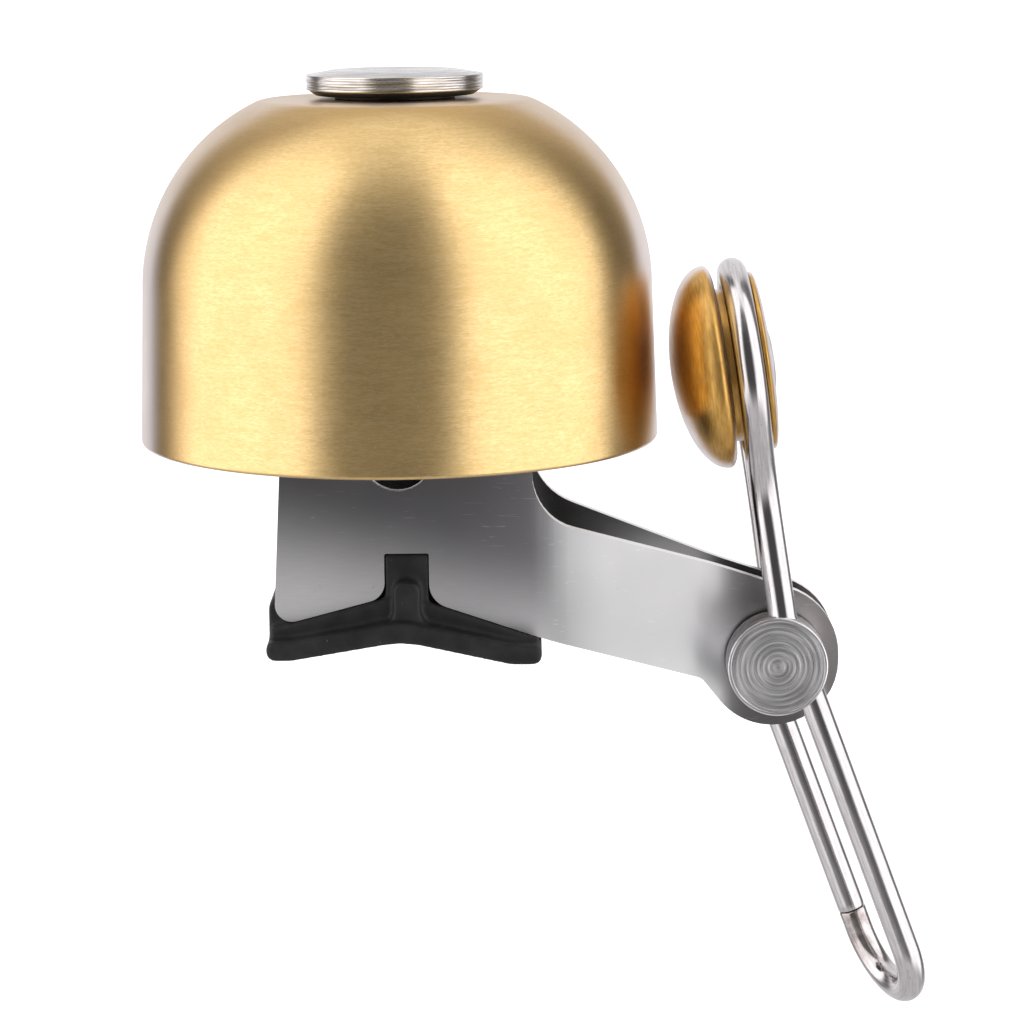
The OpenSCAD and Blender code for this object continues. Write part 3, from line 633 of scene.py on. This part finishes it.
CAP_CHAMFER = (1.8, 0.3)  # width and height
CAP_SIDE = 1.15
CAP_GROOVES = 5
GROOVE_DEPTH = 0.05
GROOVE_SHAPE = ((0, 0), (0.15, 0.7), (0.3, 1), (0.45, 0.7), (0.6, 0))  # share of pitch and depth
GROOVE_MARGIN = 0.16
STUD_RADIUS = HOLE_RADIUS - 0.1
THREAD_PITCH = 0.8
THREAD_DEPTH = 0.35
THREAD_TOP = 16.0
THREAD_ROWS = 8


def build_cap(steel):
    """Turned cap with fine grooves round its side, and the threaded stud under it."""
    top = cap_hi.z
    cap_r = cap_hi.x
    side_z = top - CAP_CHAMFER[1] - CAP_SIDE
    low = cap_lo.z
    thread_low = low + 0.4

    def threaded(angle, radius, height):
        if height > THREAD_TOP or radius < STUD_RADIUS - 0.01:
            return radius
        turn = (height / THREAD_PITCH - angle / (2 * math.pi)) % 1
        fade = min(1, (THREAD_TOP - height) / THREAD_PITCH)
        return radius - THREAD_DEPTH * fade * abs(2 * turn - 1)

    profile = [(0, low), (STUD_RADIUS - 0.5, low), (STUD_RADIUS - 0.1, low + 0.3)]
    steps = int((THREAD_TOP - thread_low) / THREAD_PITCH * THREAD_ROWS)
    profile += [(STUD_RADIUS, thread_low + (THREAD_TOP - thread_low) * k / steps)
        for k in range(steps + 1)]
    profile += [(STUD_RADIUS, side_z - 0.5)]
    profile += eased([
        (STUD_RADIUS, side_z - 0.2), (STUD_RADIUS, side_z, 0.1), (cap_r - 0.4, side_z)],
        3, False)[1:-1]
    profile += eased([
        (STUD_RADIUS, side_z), (cap_r, side_z, 0.12), (cap_r, side_z + 0.4)], 4, False)[1:-1]
    pitch = (CAP_SIDE - GROOVE_MARGIN) / CAP_GROOVES
    for k in range(CAP_GROOVES):
        z = side_z + 0.14 + k * pitch
        for share, depth in GROOVE_SHAPE:
            profile.append((cap_r - GROOVE_DEPTH * depth, z + pitch * share))
    profile += eased([
        (cap_r, side_z + CAP_SIDE - 0.2), (cap_r, side_z + CAP_SIDE, 0.08),
        (cap_r - CAP_CHAMFER[0], top, 0.5), (0, top)], 4, False)[1:-1]
    profile += [(3.0, top), (1.5, top), (0.6, top), (0, top)]
    piece = lathe("steel_cap", profile, sides=192, closed=False, radius_at=threaded)
    finish_piece(piece, "bell_body", "turned_steel", steel, "top_cap")


WASHER_FOOT = 4.6
WASHER_STEP = 6.05
WASHER_STEP_SHARE = 0.45


def build_cap_washer(plastic):
    """Stepped washer: a narrow foot on the dome, then a bevel out to the cap's edge."""
    lo, hi = node_box("cap_washer")
    step_z = lo.z + (hi.z - lo.z) * WASHER_STEP_SHARE
    profile = eased([
        (HOLE_RADIUS, lo.z, 0.05), (WASHER_FOOT, lo.z, 0.1), (WASHER_FOOT, step_z, 0.08),
        (WASHER_STEP, step_z, 0.1), (hi.x, hi.z, 0.06), (HOLE_RADIUS, hi.z, 0.05)], 4)
    piece = lathe("cap_washer_black", profile, sides=128)
    finish_piece(piece, "bell_body", "washer_plastic", plastic, "cap_washer")


def ring_profile(inner, outer, low, high, ease):
    """Section of a ring with a square section, its four corners rounded by ease."""
    return eased([(inner, low, ease), (outer, low, ease), (outer, high, ease), (inner, high, ease)],
        4)


def build_ring(name, node, slot, material, ease):
    """Plain ring round the stud, as wide and as high as its CAD node."""
    lo, hi = node_box(node)
    piece = lathe(name, ring_profile(HOLE_RADIUS, hi.x, lo.z, hi.z, ease), 128)
    finish_piece(piece, "bell_body", slot, material, node)


def build_nut(steel):
    """Hexagon nut whose corners are turned off at 30 degrees on both faces."""
    lo, hi = node_box("post_nut")
    flat = (hi.y - lo.y) / 2
    corner = flat / math.cos(math.pi / 6)
    slope = math.tan(math.radians(30))
    height = hi.z - lo.z
    inner = STUD_RADIUS

    def hexagon(angle, radius, z):
        if radius < inner + 0.6:
            return radius
        side = flat / math.cos((angle + math.pi / 6) % (math.pi / 3) - math.pi / 6)
        from_face = min(z - lo.z, hi.z - z)
        return min(side, flat * 0.97 + from_face / slope)

    rows = [0, 0.06, 0.14, 0.24, 0.36, 0.5, 0.7, 1.0]
    rise = rows + [height - r for r in reversed(rows)]
    profile = [(inner, lo.z + 0.3), (inner + 0.3, lo.z)]
    profile += [(corner, lo.z + r) for r in rise]
    profile += [(inner + 0.3, hi.z), (inner, hi.z - 0.3)]
    piece = lathe("post_hex_nut", profile, sides=192, radius_at=hexagon)
    finish_piece(piece, "bell_body", "hidden_steel", steel, "post_nut")


def build_lock_washer(steel):
    """Split ring of square section whose two ends stand slightly apart."""
    lo, hi = node_box("post_lock_washer")
    outer = (hi.y - lo.y) / 2
    section = ring_profile(HOLE_RADIUS, outer, lo.z, hi.z, 0.1)
    gap = math.degrees(0.3 / outer)
    steps = 96
    points = []
    for k in range(steps + 1):
        a = math.radians(gap + (360 - 2 * gap) * k / steps)
        points += [(r * math.cos(a), r * math.sin(a), z) for r, z in section]
    count = len(section)
    faces = [list(range(count)), [steps * count + k for k in reversed(range(count))]]
    for i in range(steps):
        for k in range(count):
            m = (k + 1) % count
            faces.append([i * count + m, i * count + k, (i + 1) * count + k, (i + 1) * count + m])
    piece = mesh_object("split_lock_washer", points, faces)
    keep_flats_flat(piece)
    finish_piece(piece, "bell_body", "hidden_steel", steel, "post_lock_washer")


# ---------------------------------------------------------------- bracket and saddle

def dress(node, material, ease, segments=2, sharp=40, flat=None):
    """A CAD node that keeps its own mesh and gets eased edges, by modifiers only.

    ease is in millimetres. Edges that bend by more than sharp degrees are eased, and where flat is
    given, faces that bend by less than that many degrees are joined first."""
    piece = frame["nodes"][node]
    weld = piece.modifiers.new("Weld", "WELD")
    weld.merge_threshold = 1e-6
    if flat is not None:
        flats = piece.modifiers.new("Flat faces", "DECIMATE")
        flats.decimate_type = "DISSOLVE"
        flats.angle_limit = math.radians(flat)
    bevel = piece.modifiers.new("Ease", "BEVEL")
    bevel.width = ease * MM
    bevel.segments = segments
    bevel.limit_method = "ANGLE"
    bevel.angle_limit = math.radians(sharp)
    keep_flats_flat(piece)
    piece.data.polygons.foreach_set("use_smooth", [True] * len(piece.data.polygons))
    give_material(piece, material)


PAD_VOXEL = 0.17


def build_pad(material):
    """Moulded rubber saddle: the CAD solid remeshed finely and smoothed to round its edges.

    The modifiers work on a copy in millimetres."""
    source = frame["nodes"]["saddle_pad"].data.copy()
    source.transform(Matrix.Scale(1 / MM, 4))
    piece = bpy.data.objects.new("rubber_saddle", source)
    bpy.context.scene.collection.objects.link(piece)
    weld = piece.modifiers.new("Weld", "WELD")
    weld.merge_threshold = 0.001
    remesh = piece.modifiers.new("Remesh", "REMESH")
    remesh.mode = "VOXEL"
    remesh.voxel_size = PAD_VOXEL
    soften = piece.modifiers.new("Soften", "SMOOTH")
    soften.factor = 0.5
    soften.iterations = 8
    bpy.context.view_layer.update()
    evaluated = piece.evaluated_get(bpy.context.evaluated_depsgraph_get())
    mesh = bpy.data.meshes.new_from_object(evaluated)
    mesh.transform(Matrix.Scale(MM, 4))
    mesh.polygons.foreach_set("use_smooth", [True] * len(mesh.polygons))
    piece.modifiers.clear()
    piece.data = mesh
    bpy.data.meshes.remove(source)
    finish_piece(piece, "bell_body", "saddle_rubber", material, "saddle_pad")


# ---------------------------------------------------------------- lever

WIRE_RADIUS = 1.1
# Both loops lie in planes that lean from upright, in degrees. The lower one is also twisted.
UPPER_LEAN = 8.1
UPPER_OFFSET = 0.97
LOWER_LEAN = 20.1
LOOP_TWIST = -19.5
LOOP_SHIFT = 0.225
LOOP_LENGTH = 25.3
STRIKER_LOOP = 7.1
STRIKER_Z = 6.0
# Where the wire leaves the discs, up and down from the hinge, and the radius of its bends there.
FRONT_UP, FRONT_DOWN, BACK_DOWN = 3.6, 2.4, 2.6
KNEE = 1.6
# Half width of the neck under the striker, its distance below the striker's centre and its bend.
NECK_HALF, NECK_DROP, NECK = 2.4, 9.5, 8.0
SEAM_AT, SEAM_GAP = 23.4, 0.06
LOOP_STEPS = 72
STRAIGHT_STEP = 0.6

wire_y = (abs(disc_lo.y) + rear_lo.y) / 2
striker_up = (STRIKER_Z - hinge.z) / math.cos(math.radians(UPPER_LEAN))
loop_radius = wire_y / math.cos(math.radians(LOOP_TWIST))
head_r = (disc_hi.x - disc_lo.x) / 2


def upper_point(y, up):
    """Point in the upper loop's plane, up millimetres above the hinge along its lean."""
    a = math.radians(UPPER_LEAN)
    return Vector((hinge.x + UPPER_OFFSET - up * math.sin(a), y, hinge.z + up * math.cos(a)))


def lower_point(across, down):
    """Point in the finger loop's plane, down millimetres below the hinge along its lean."""
    t = math.radians(LOOP_TWIST)
    a = math.radians(LOWER_LEAN)
    x = LOOP_SHIFT + across * math.sin(t)
    return Vector((hinge.x + x * math.cos(a) + down * math.sin(a), across * math.cos(t),
        hinge.z + x * math.sin(a) - down * math.cos(a)))


def knee(before, here, after, radius=KNEE, steps=10):
    """Points on the bend at here, between the straights towards before and after."""
    u = (before - here).normalized()
    w = (after - here).normalized()
    half = u.angle(w) / 2
    middle = here + (u + w).normalized() * radius / math.sin(half)
    first = here + u * radius / math.tan(half) - middle
    last = here + w * radius / math.tan(half) - middle
    turn = math.pi - 2 * half
    return [middle + (first * math.sin(turn * (1 - k / steps)) + last * math.sin(turn * k / steps))
        / math.sin(turn) for k in range(steps + 1)]


def straight(a, b, steps):
    """Points between a and b, without either."""
    return [a.lerp(b, k / steps) for k in range(1, steps)]


def wire_path():
    """Centre line of the lever, from the seam round both loops and back to the seam."""
    lean = (math.asin(STRIKER_LOOP / math.hypot(NECK_HALF, NECK_DROP))
        - math.atan2(NECK_HALF, NECK_DROP))
    neck_up = striker_up - NECK_DROP
    back_neck, front_neck = upper_point(NECK_HALF, neck_up), upper_point(-NECK_HALF, neck_up)
    leg_half = STRIKER_LOOP * math.cos(lean)
    leg_top = striker_up - STRIKER_LOOP * math.sin(lean)
    back_high, front_high = upper_point(wire_y, FRONT_UP), upper_point(-wire_y, FRONT_UP)
    back_low, front_low = lower_point(loop_radius, BACK_DOWN), lower_point(-loop_radius, FRONT_DOWN)
    start = lower_point(loop_radius, SEAM_AT - SEAM_GAP / 2)
    pieces = [[start]]
    pieces.append(knee(start, back_low, back_high))
    pieces.append(knee(back_low, back_high, back_neck))
    pieces.append(knee(back_high, back_neck, upper_point(leg_half, leg_top), NECK))
    turn = [-lean + (math.pi + 2 * lean) * k / LOOP_STEPS for k in range(LOOP_STEPS + 1)]
    pieces.append([upper_point(STRIKER_LOOP * math.cos(a), striker_up + STRIKER_LOOP * math.sin(a))
        for a in turn])
    pieces.append(knee(upper_point(-leg_half, leg_top), front_neck, front_high, NECK))
    pieces.append(knee(front_neck, front_high, front_low))
    pieces.append(knee(front_high, front_low, lower_point(-loop_radius, LOOP_LENGTH)))
    pieces.append([lower_point(-loop_radius * math.cos(math.pi * k / LOOP_STEPS),
        LOOP_LENGTH + loop_radius * math.sin(math.pi * k / LOOP_STEPS))
        for k in range(LOOP_STEPS + 1)])
    pieces.append([lower_point(loop_radius, SEAM_AT + SEAM_GAP / 2)])
    path = list(pieces[0])
    for run in pieces[1:]:
        gap = (run[0] - path[-1]).length
        path += straight(path[-1], run[0], max(1, round(gap / STRAIGHT_STEP)))
        path += run
    return path


lever_path = wire_path()
WIRE_LENGTH = sum((q - p).length for p, q in zip(lever_path, lever_path[1:]))


def build_wire(steel):
    """The lever, whose two ends meet in a butt seam on the finger loop's rear leg."""
    piece = swept("lever_wire", lever_path, WIRE_RADIUS, sides=40, end_ease=0.12)
    finish_piece(piece, "lever", "wire_steel", steel, "hammer_wire")


GROOVE_HALF = WIRE_RADIUS + 0.05
GROOVE_FRONT = WIRE_RADIUS + 0.5
GROOVE_FLOOR = STRIKER_LOOP - WIRE_RADIUS - 0.05
STRIKER_RADIUS = 7.9
STRIKER_DOME = 3.5
EDGE_ROUND = (1.3, 0.65)  # width and height
BACK_RADIUS = 6.9
BACK_EDGE = 0.25
BACK_BULGE = 0.65
BACK_BULGE_END = math.radians(65)  # how far round its ellipse the bulge goes
BACK_BORE = 1.65
RIVET_RADIUS = 2.5
RIVET_HEIGHT = 0.3
RIVET_SHANK = 1.55
EDGE_STEPS, DOME_STEPS, BULGE_STEPS, CROWN_STEPS = 12, 40, 16, 8


def build_striker(brass, steel):
    """Domed body with a rounded back edge, a slightly domed disc behind the wire, and the rivet."""
    lean = math.radians(UPPER_LEAN)
    axis = (-math.cos(lean), 0, -math.sin(lean))
    place = facing(upper_point(0, striker_up), axis)
    rim = GROOVE_FRONT + EDGE_ROUND[1]
    profile = [(0, -GROOVE_HALF), (3, -GROOVE_HALF)]
    profile += eased([
        (3, -GROOVE_HALF), (GROOVE_FLOOR, -GROOVE_HALF, 0.1), (GROOVE_FLOOR, GROOVE_FRONT, 0.12),
        (STRIKER_RADIUS - EDGE_ROUND[0], GROOVE_FRONT)], 4, False)[1:-1]
    for k in range(EDGE_STEPS + 1):
        a = math.pi / 2 * k / EDGE_STEPS
        profile.append((STRIKER_RADIUS - EDGE_ROUND[0] * (1 - math.sin(a)),
            GROOVE_FRONT + EDGE_ROUND[1] * (1 - math.cos(a))))
    for k in range(1, DOME_STEPS + 1):
        a = math.pi / 2 * k / DOME_STEPS
        profile.append((STRIKER_RADIUS * math.cos(a), rim + STRIKER_DOME * math.sin(a)))
    profile[-1] = (0, rim + STRIKER_DOME)
    piece = lathe("striker_body", profile, sides=160, place=place, closed=False)
    finish_piece(piece, "lever", "striker_brass", brass, "striker_head")
    low = -GROOVE_HALF - BACK_EDGE - BACK_BULGE * math.sin(BACK_BULGE_END)
    bulge = [(BACK_RADIUS * math.cos(a), -GROOVE_HALF - BACK_EDGE - BACK_BULGE * math.sin(a))
        for a in [BACK_BULGE_END * (1 - k / BULGE_STEPS) for k in range(BULGE_STEPS + 1)]]
    rim_end = eased([bulge[-2], (*bulge[-1], 0.1), (BACK_RADIUS, -GROOVE_HALF, 0.12),
        (BACK_BORE, -GROOVE_HALF)], 4, False)[1:]
    profile = [(BACK_BORE, low), (2.2, low)] + bulge[:-1] + rim_end
    piece = lathe("striker_disc", profile, sides=160, place=place)
    finish_piece(piece, "lever", "striker_brass", brass, "striker_back")
    crown = [(RIVET_RADIUS * math.cos(a), low - RIVET_HEIGHT * math.sin(a)) for a in
        [math.pi / 2 * (1 - k / CROWN_STEPS) for k in range(CROWN_STEPS + 1)]]
    crown[0] = (0, crown[0][1])
    shank_end = -GROOVE_HALF + 0.5
    profile = crown + [(RIVET_SHANK, low), (RIVET_SHANK, shank_end), (0, shank_end)]
    piece = lathe("striker_rivet_head", profile, sides=96, place=place, closed=False)
    finish_piece(piece, "lever", "turned_steel", steel, "striker_rivet")


RING_PITCH = 0.42
RING_DEPTH = 0.05
RING_WAVE = 0.017
RING_STEPS = 8
RIM_WIDTH = 0.25
NUB_RADIUS = 0.45


def disc_profile(height, foot):
    """Turned disc with a raised rim, concentric grooves and a small centre nub on top of foot."""
    edge = eased([
        (0.5, 0), (head_r, 0, 0.12), (head_r, height, 0.12), (head_r - RIM_WIDTH, height, 0.05),
        (head_r - RIM_WIDTH, height - RING_DEPTH, 0.03), (0, height - RING_DEPTH)], 4, False)[1:-1]
    rings = math.floor((head_r - RIM_WIDTH - NUB_RADIUS) / RING_PITCH)
    out = list(foot) + edge
    for k in reversed(range(rings)):
        r = NUB_RADIUS + 0.15 + k * RING_PITCH
        for j in range(RING_STEPS, -1, -1):
            share = j / RING_STEPS
            lift = 0.5 - 0.5 * math.cos(2 * math.pi * share)
            out.append((r + RING_PITCH * share * 0.96, height - RING_DEPTH + RING_WAVE * lift))
    out += eased([
        (NUB_RADIUS + 0.1, height - RING_DEPTH), (NUB_RADIUS, height - 0.02, 0.06),
        (0, height - 0.02)], 3, False)[1:]
    return out


PIN_RADIUS = 1.5


def build_discs(steel):
    """The hinge's front disc with the pin behind it, and the rear disc."""
    inner = rear_lo.y
    height = abs(disc_lo.y) - inner
    reach = disc_hi.y + inner
    foot = [(0, -reach), (PIN_RADIUS - 0.1, -reach), (PIN_RADIUS, -reach + 0.1),
        (PIN_RADIUS, -0.05), (PIN_RADIUS + 0.05, 0)]
    piece = lathe("hinge_pin_disc", disc_profile(height, foot), sides=160, closed=False,
        place=facing((hinge.x, -inner, hinge.z), (0, -1, 0)))
    finish_piece(piece, "lever", "turned_steel", steel, "pivot_pin")
    piece = lathe("hinge_rear_disc", disc_profile(height, [(0, 0)]), sides=160, closed=False,
        place=facing((hinge.x, inner, hinge.z), (0, 1, 0)))
    finish_piece(piece, "lever", "turned_steel", steel, "pivot_head_rear")


SPRING_RADIUS = 2.45
SPRING_WIRE = 0.45
SPRING_TURNS = 4 + 10 / 24
SPRING_PITCH = SPRING_WIRE + 0.04
SPRING_START = 110
SPRING_LEG = 3.9
SPRING_LEG_DIP = math.radians(20)
COIL_STEPS = 48


def build_spring(steel):
    """Return spring round the hub, with its fixed leg; it starts SPRING_START degrees from X."""
    def coil(i):
        a = math.radians(SPRING_START + 360 * i / COIL_STEPS)
        y = -SPRING_TURNS * SPRING_PITCH / 2 + SPRING_PITCH * i / COIL_STEPS
        return Vector((hinge.x + SPRING_RADIUS * math.cos(a), y,
            hinge.z + SPRING_RADIUS * math.sin(a)))

    leg = Vector((-math.cos(SPRING_LEG_DIP), 0, -math.sin(SPRING_LEG_DIP))) * SPRING_LEG
    path = [coil(0) + leg] + straight(coil(0) + leg, coil(0), 8)
    path += [coil(i) for i in range(round(SPRING_TURNS * COIL_STEPS) + 1)]
    piece = swept("return_spring", path, SPRING_WIRE / 2, sides=16, end_ease=0.05)
    finish_piece(piece, "bell_body", "hidden_steel", steel, "torsion_spring")


# ---------------------------------------------------------------- studio

# Softboxes: first and last azimuth from the front and softness of the edge, in degrees.
LEFT_BOX = (-116, -36, 7)
RIGHT_BOX = (29, 106, 7)
BOX_LIGHT = 1.6
FRONT_LIGHT = 0.21
# Azimuth or height, in degrees, over which a light comes in, and its strength.
BACK = (132, 150, 0.75)
TOP = (60, 82, 1.3)
FLOOR = (-14, -46, 0.7)


def build_world():
    """Soft studio as a procedural sky, plain white to the camera.

    It has two wide softboxes, a bright top and back, and a dim card in front."""
    world = bpy.data.worlds.new("studio")
    world.use_nodes = True
    bpy.context.scene.world = world
    sky = Nodes(world.node_tree)
    sky.tree.nodes.clear()
    x, y, z = sky.parts(sky.coordinates("Generated"))
    azimuth = sky.math("DEGREES", sky.math("ARCTAN2", x, sky.math("MULTIPLY", y, -1.0)))
    height = sky.math("DEGREES", sky.math("ARCSINE", z))

    def band(start, end, soft):
        rise = sky.ramp(azimuth, start - soft, start + soft)
        fall = sky.ramp(azimuth, end - soft, end + soft, 1.0, 0.0)
        return sky.math("MULTIPLY", rise, fall)

    around = sky.math("ABSOLUTE", azimuth)
    level = sky.math("ADD", FRONT_LIGHT, sky.math("MULTIPLY", band(*LEFT_BOX), BOX_LIGHT))
    level = sky.math("ADD", level, sky.math("MULTIPLY", band(*RIGHT_BOX), BOX_LIGHT))
    low, high, light = BACK
    level = sky.math("ADD", level, sky.math("MULTIPLY", sky.ramp(around, low, high), light))
    for low, high, light in (TOP, FLOOR):
        share = sky.ramp(height, low, high)
        level = sky.math("ADD", sky.math("MULTIPLY", level, sky.math("SUBTRACT", 1.0, share)),
            sky.math("MULTIPLY", share, light))
    camera_ray = sky.add("ShaderNodeLightPath").outputs["Is Camera Ray"]
    strength = sky.math("ADD",
        sky.math("MULTIPLY", level, sky.math("SUBTRACT", 1.0, camera_ray)), camera_ray)
    background = sky.add("ShaderNodeBackground",
        {"Color": (1.0, 0.985, 0.99), "Strength": strength})
    output = sky.add("ShaderNodeOutputWorld")
    sky.tree.links.new(background.outputs[0], output.inputs[0])


FLOOR_GAP = 9.0
FLOOR_HALF = 40.0
WHITE = (1.0, 1.0, 1.0)


def build_floor():
    """Pale paper FLOOR_GAP millimetres under the bell, FLOOR_HALF metres to each side."""
    lowest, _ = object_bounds()
    size = FLOOR_HALF
    z = lowest.z - FLOOR_GAP * MM
    mesh = bpy.data.meshes.new("floor")
    mesh.from_pydata([(-size, -size, z), (size, -size, z), (size, size, z), (-size, size, z)], [],
        [(0, 1, 2, 3)])
    floor = bpy.data.objects.new("floor", mesh)
    bpy.context.scene.collection.objects.link(floor)
    look = Look("floor_paper")
    grain = look.noise(look.in_mm((0.02, 0.02, 0.02)), detail=3.0)
    tone = look.mix(look.ramp(grain, 0.3, 0.7), (0.86, 0.86, 0.86), (0.88, 0.88, 0.88))
    look.set(Base_Color=tone, Roughness=0.9, Specular_IOR_Level=0.1,
        Emission_Color=WHITE, Emission_Strength=0.45)
    mesh.materials.append(look.material)
    floor.visible_glossy = False
    floor.visible_diffuse = False


CAMERA_LENS = 111.68
CAMERA_TURN = (0.156, 10.66, 0.54)  # azimuth, elevation and roll in degrees
CAMERA_DISTANCE = 248.57
CAMERA_AIM = (8.63, 0.30, -5.67)


def build_camera():
    """Seen from the front, a little above, with a long lens."""
    data = bpy.data.cameras.new("camera")
    data.sensor_width = 36
    data.lens = CAMERA_LENS
    data.clip_start = 0.01
    data.clip_end = 100
    camera = bpy.data.objects.new("camera", data)
    bpy.context.scene.collection.objects.link(camera)
    azimuth, elevation, roll = map(math.radians, CAMERA_TURN)
    back = Vector((math.sin(azimuth) * math.cos(elevation),
        -math.cos(azimuth) * math.cos(elevation), math.sin(elevation)))
    turn = (-back).to_track_quat("-Z", "Y").to_matrix().to_4x4()
    place = Matrix.Translation((Vector(CAMERA_AIM) + back * CAMERA_DISTANCE) * MM)
    camera.matrix_world = place @ turn @ Matrix.Rotation(-roll, 4, "Z")
    bpy.context.scene.camera = camera


# ---------------------------------------------------------------- assembly

bell_brass = brushed_brass()
striker_brass = polished_brass()
cap_steel = turned_steel("cap_steel", (0.32, 0.315, 0.32), (0.80, 0.79, 0.795), 0.18)
disc_steel = turned_steel("disc_steel", (0.56, 0.555, 0.565), (0.98, 0.975, 0.985), 0.27)
sheet_steel = satin_steel()
lever_steel = wire_steel()
hidden_steel = plain_steel()
bush_bronze = bronze()
saddle_rubber = rubber()
washer_plastic = black_plastic()

build_dome(bell_brass)
build_cap(cap_steel)
build_cap_washer(washer_plastic)
build_ring("inner_washer_black", "inner_washer", "washer_plastic", washer_plastic, 0.15)
build_ring("spacer_post", "dome_post", "hidden_steel", hidden_steel, 0.25)
build_nut(hidden_steel)
build_lock_washer(hidden_steel)
dress("bracket", sheet_steel, 0.15, segments=3, sharp=38, flat=0.4)
build_pad(saddle_rubber)
build_wire(lever_steel)
build_striker(striker_brass, disc_steel)
build_discs(disc_steel)
build_spring(hidden_steel)
dress("pivot_bushes", bush_bronze, 0.08)
dress("pivot_washers", washer_plastic, 0.05)
dress("spring_hub", hidden_steel, 0.1)
dress("spring_anchor_pin", hidden_steel, 0.1)

build_world()
build_floor()
build_camera()

bpy.context.scene.view_settings.view_transform = "Standard"
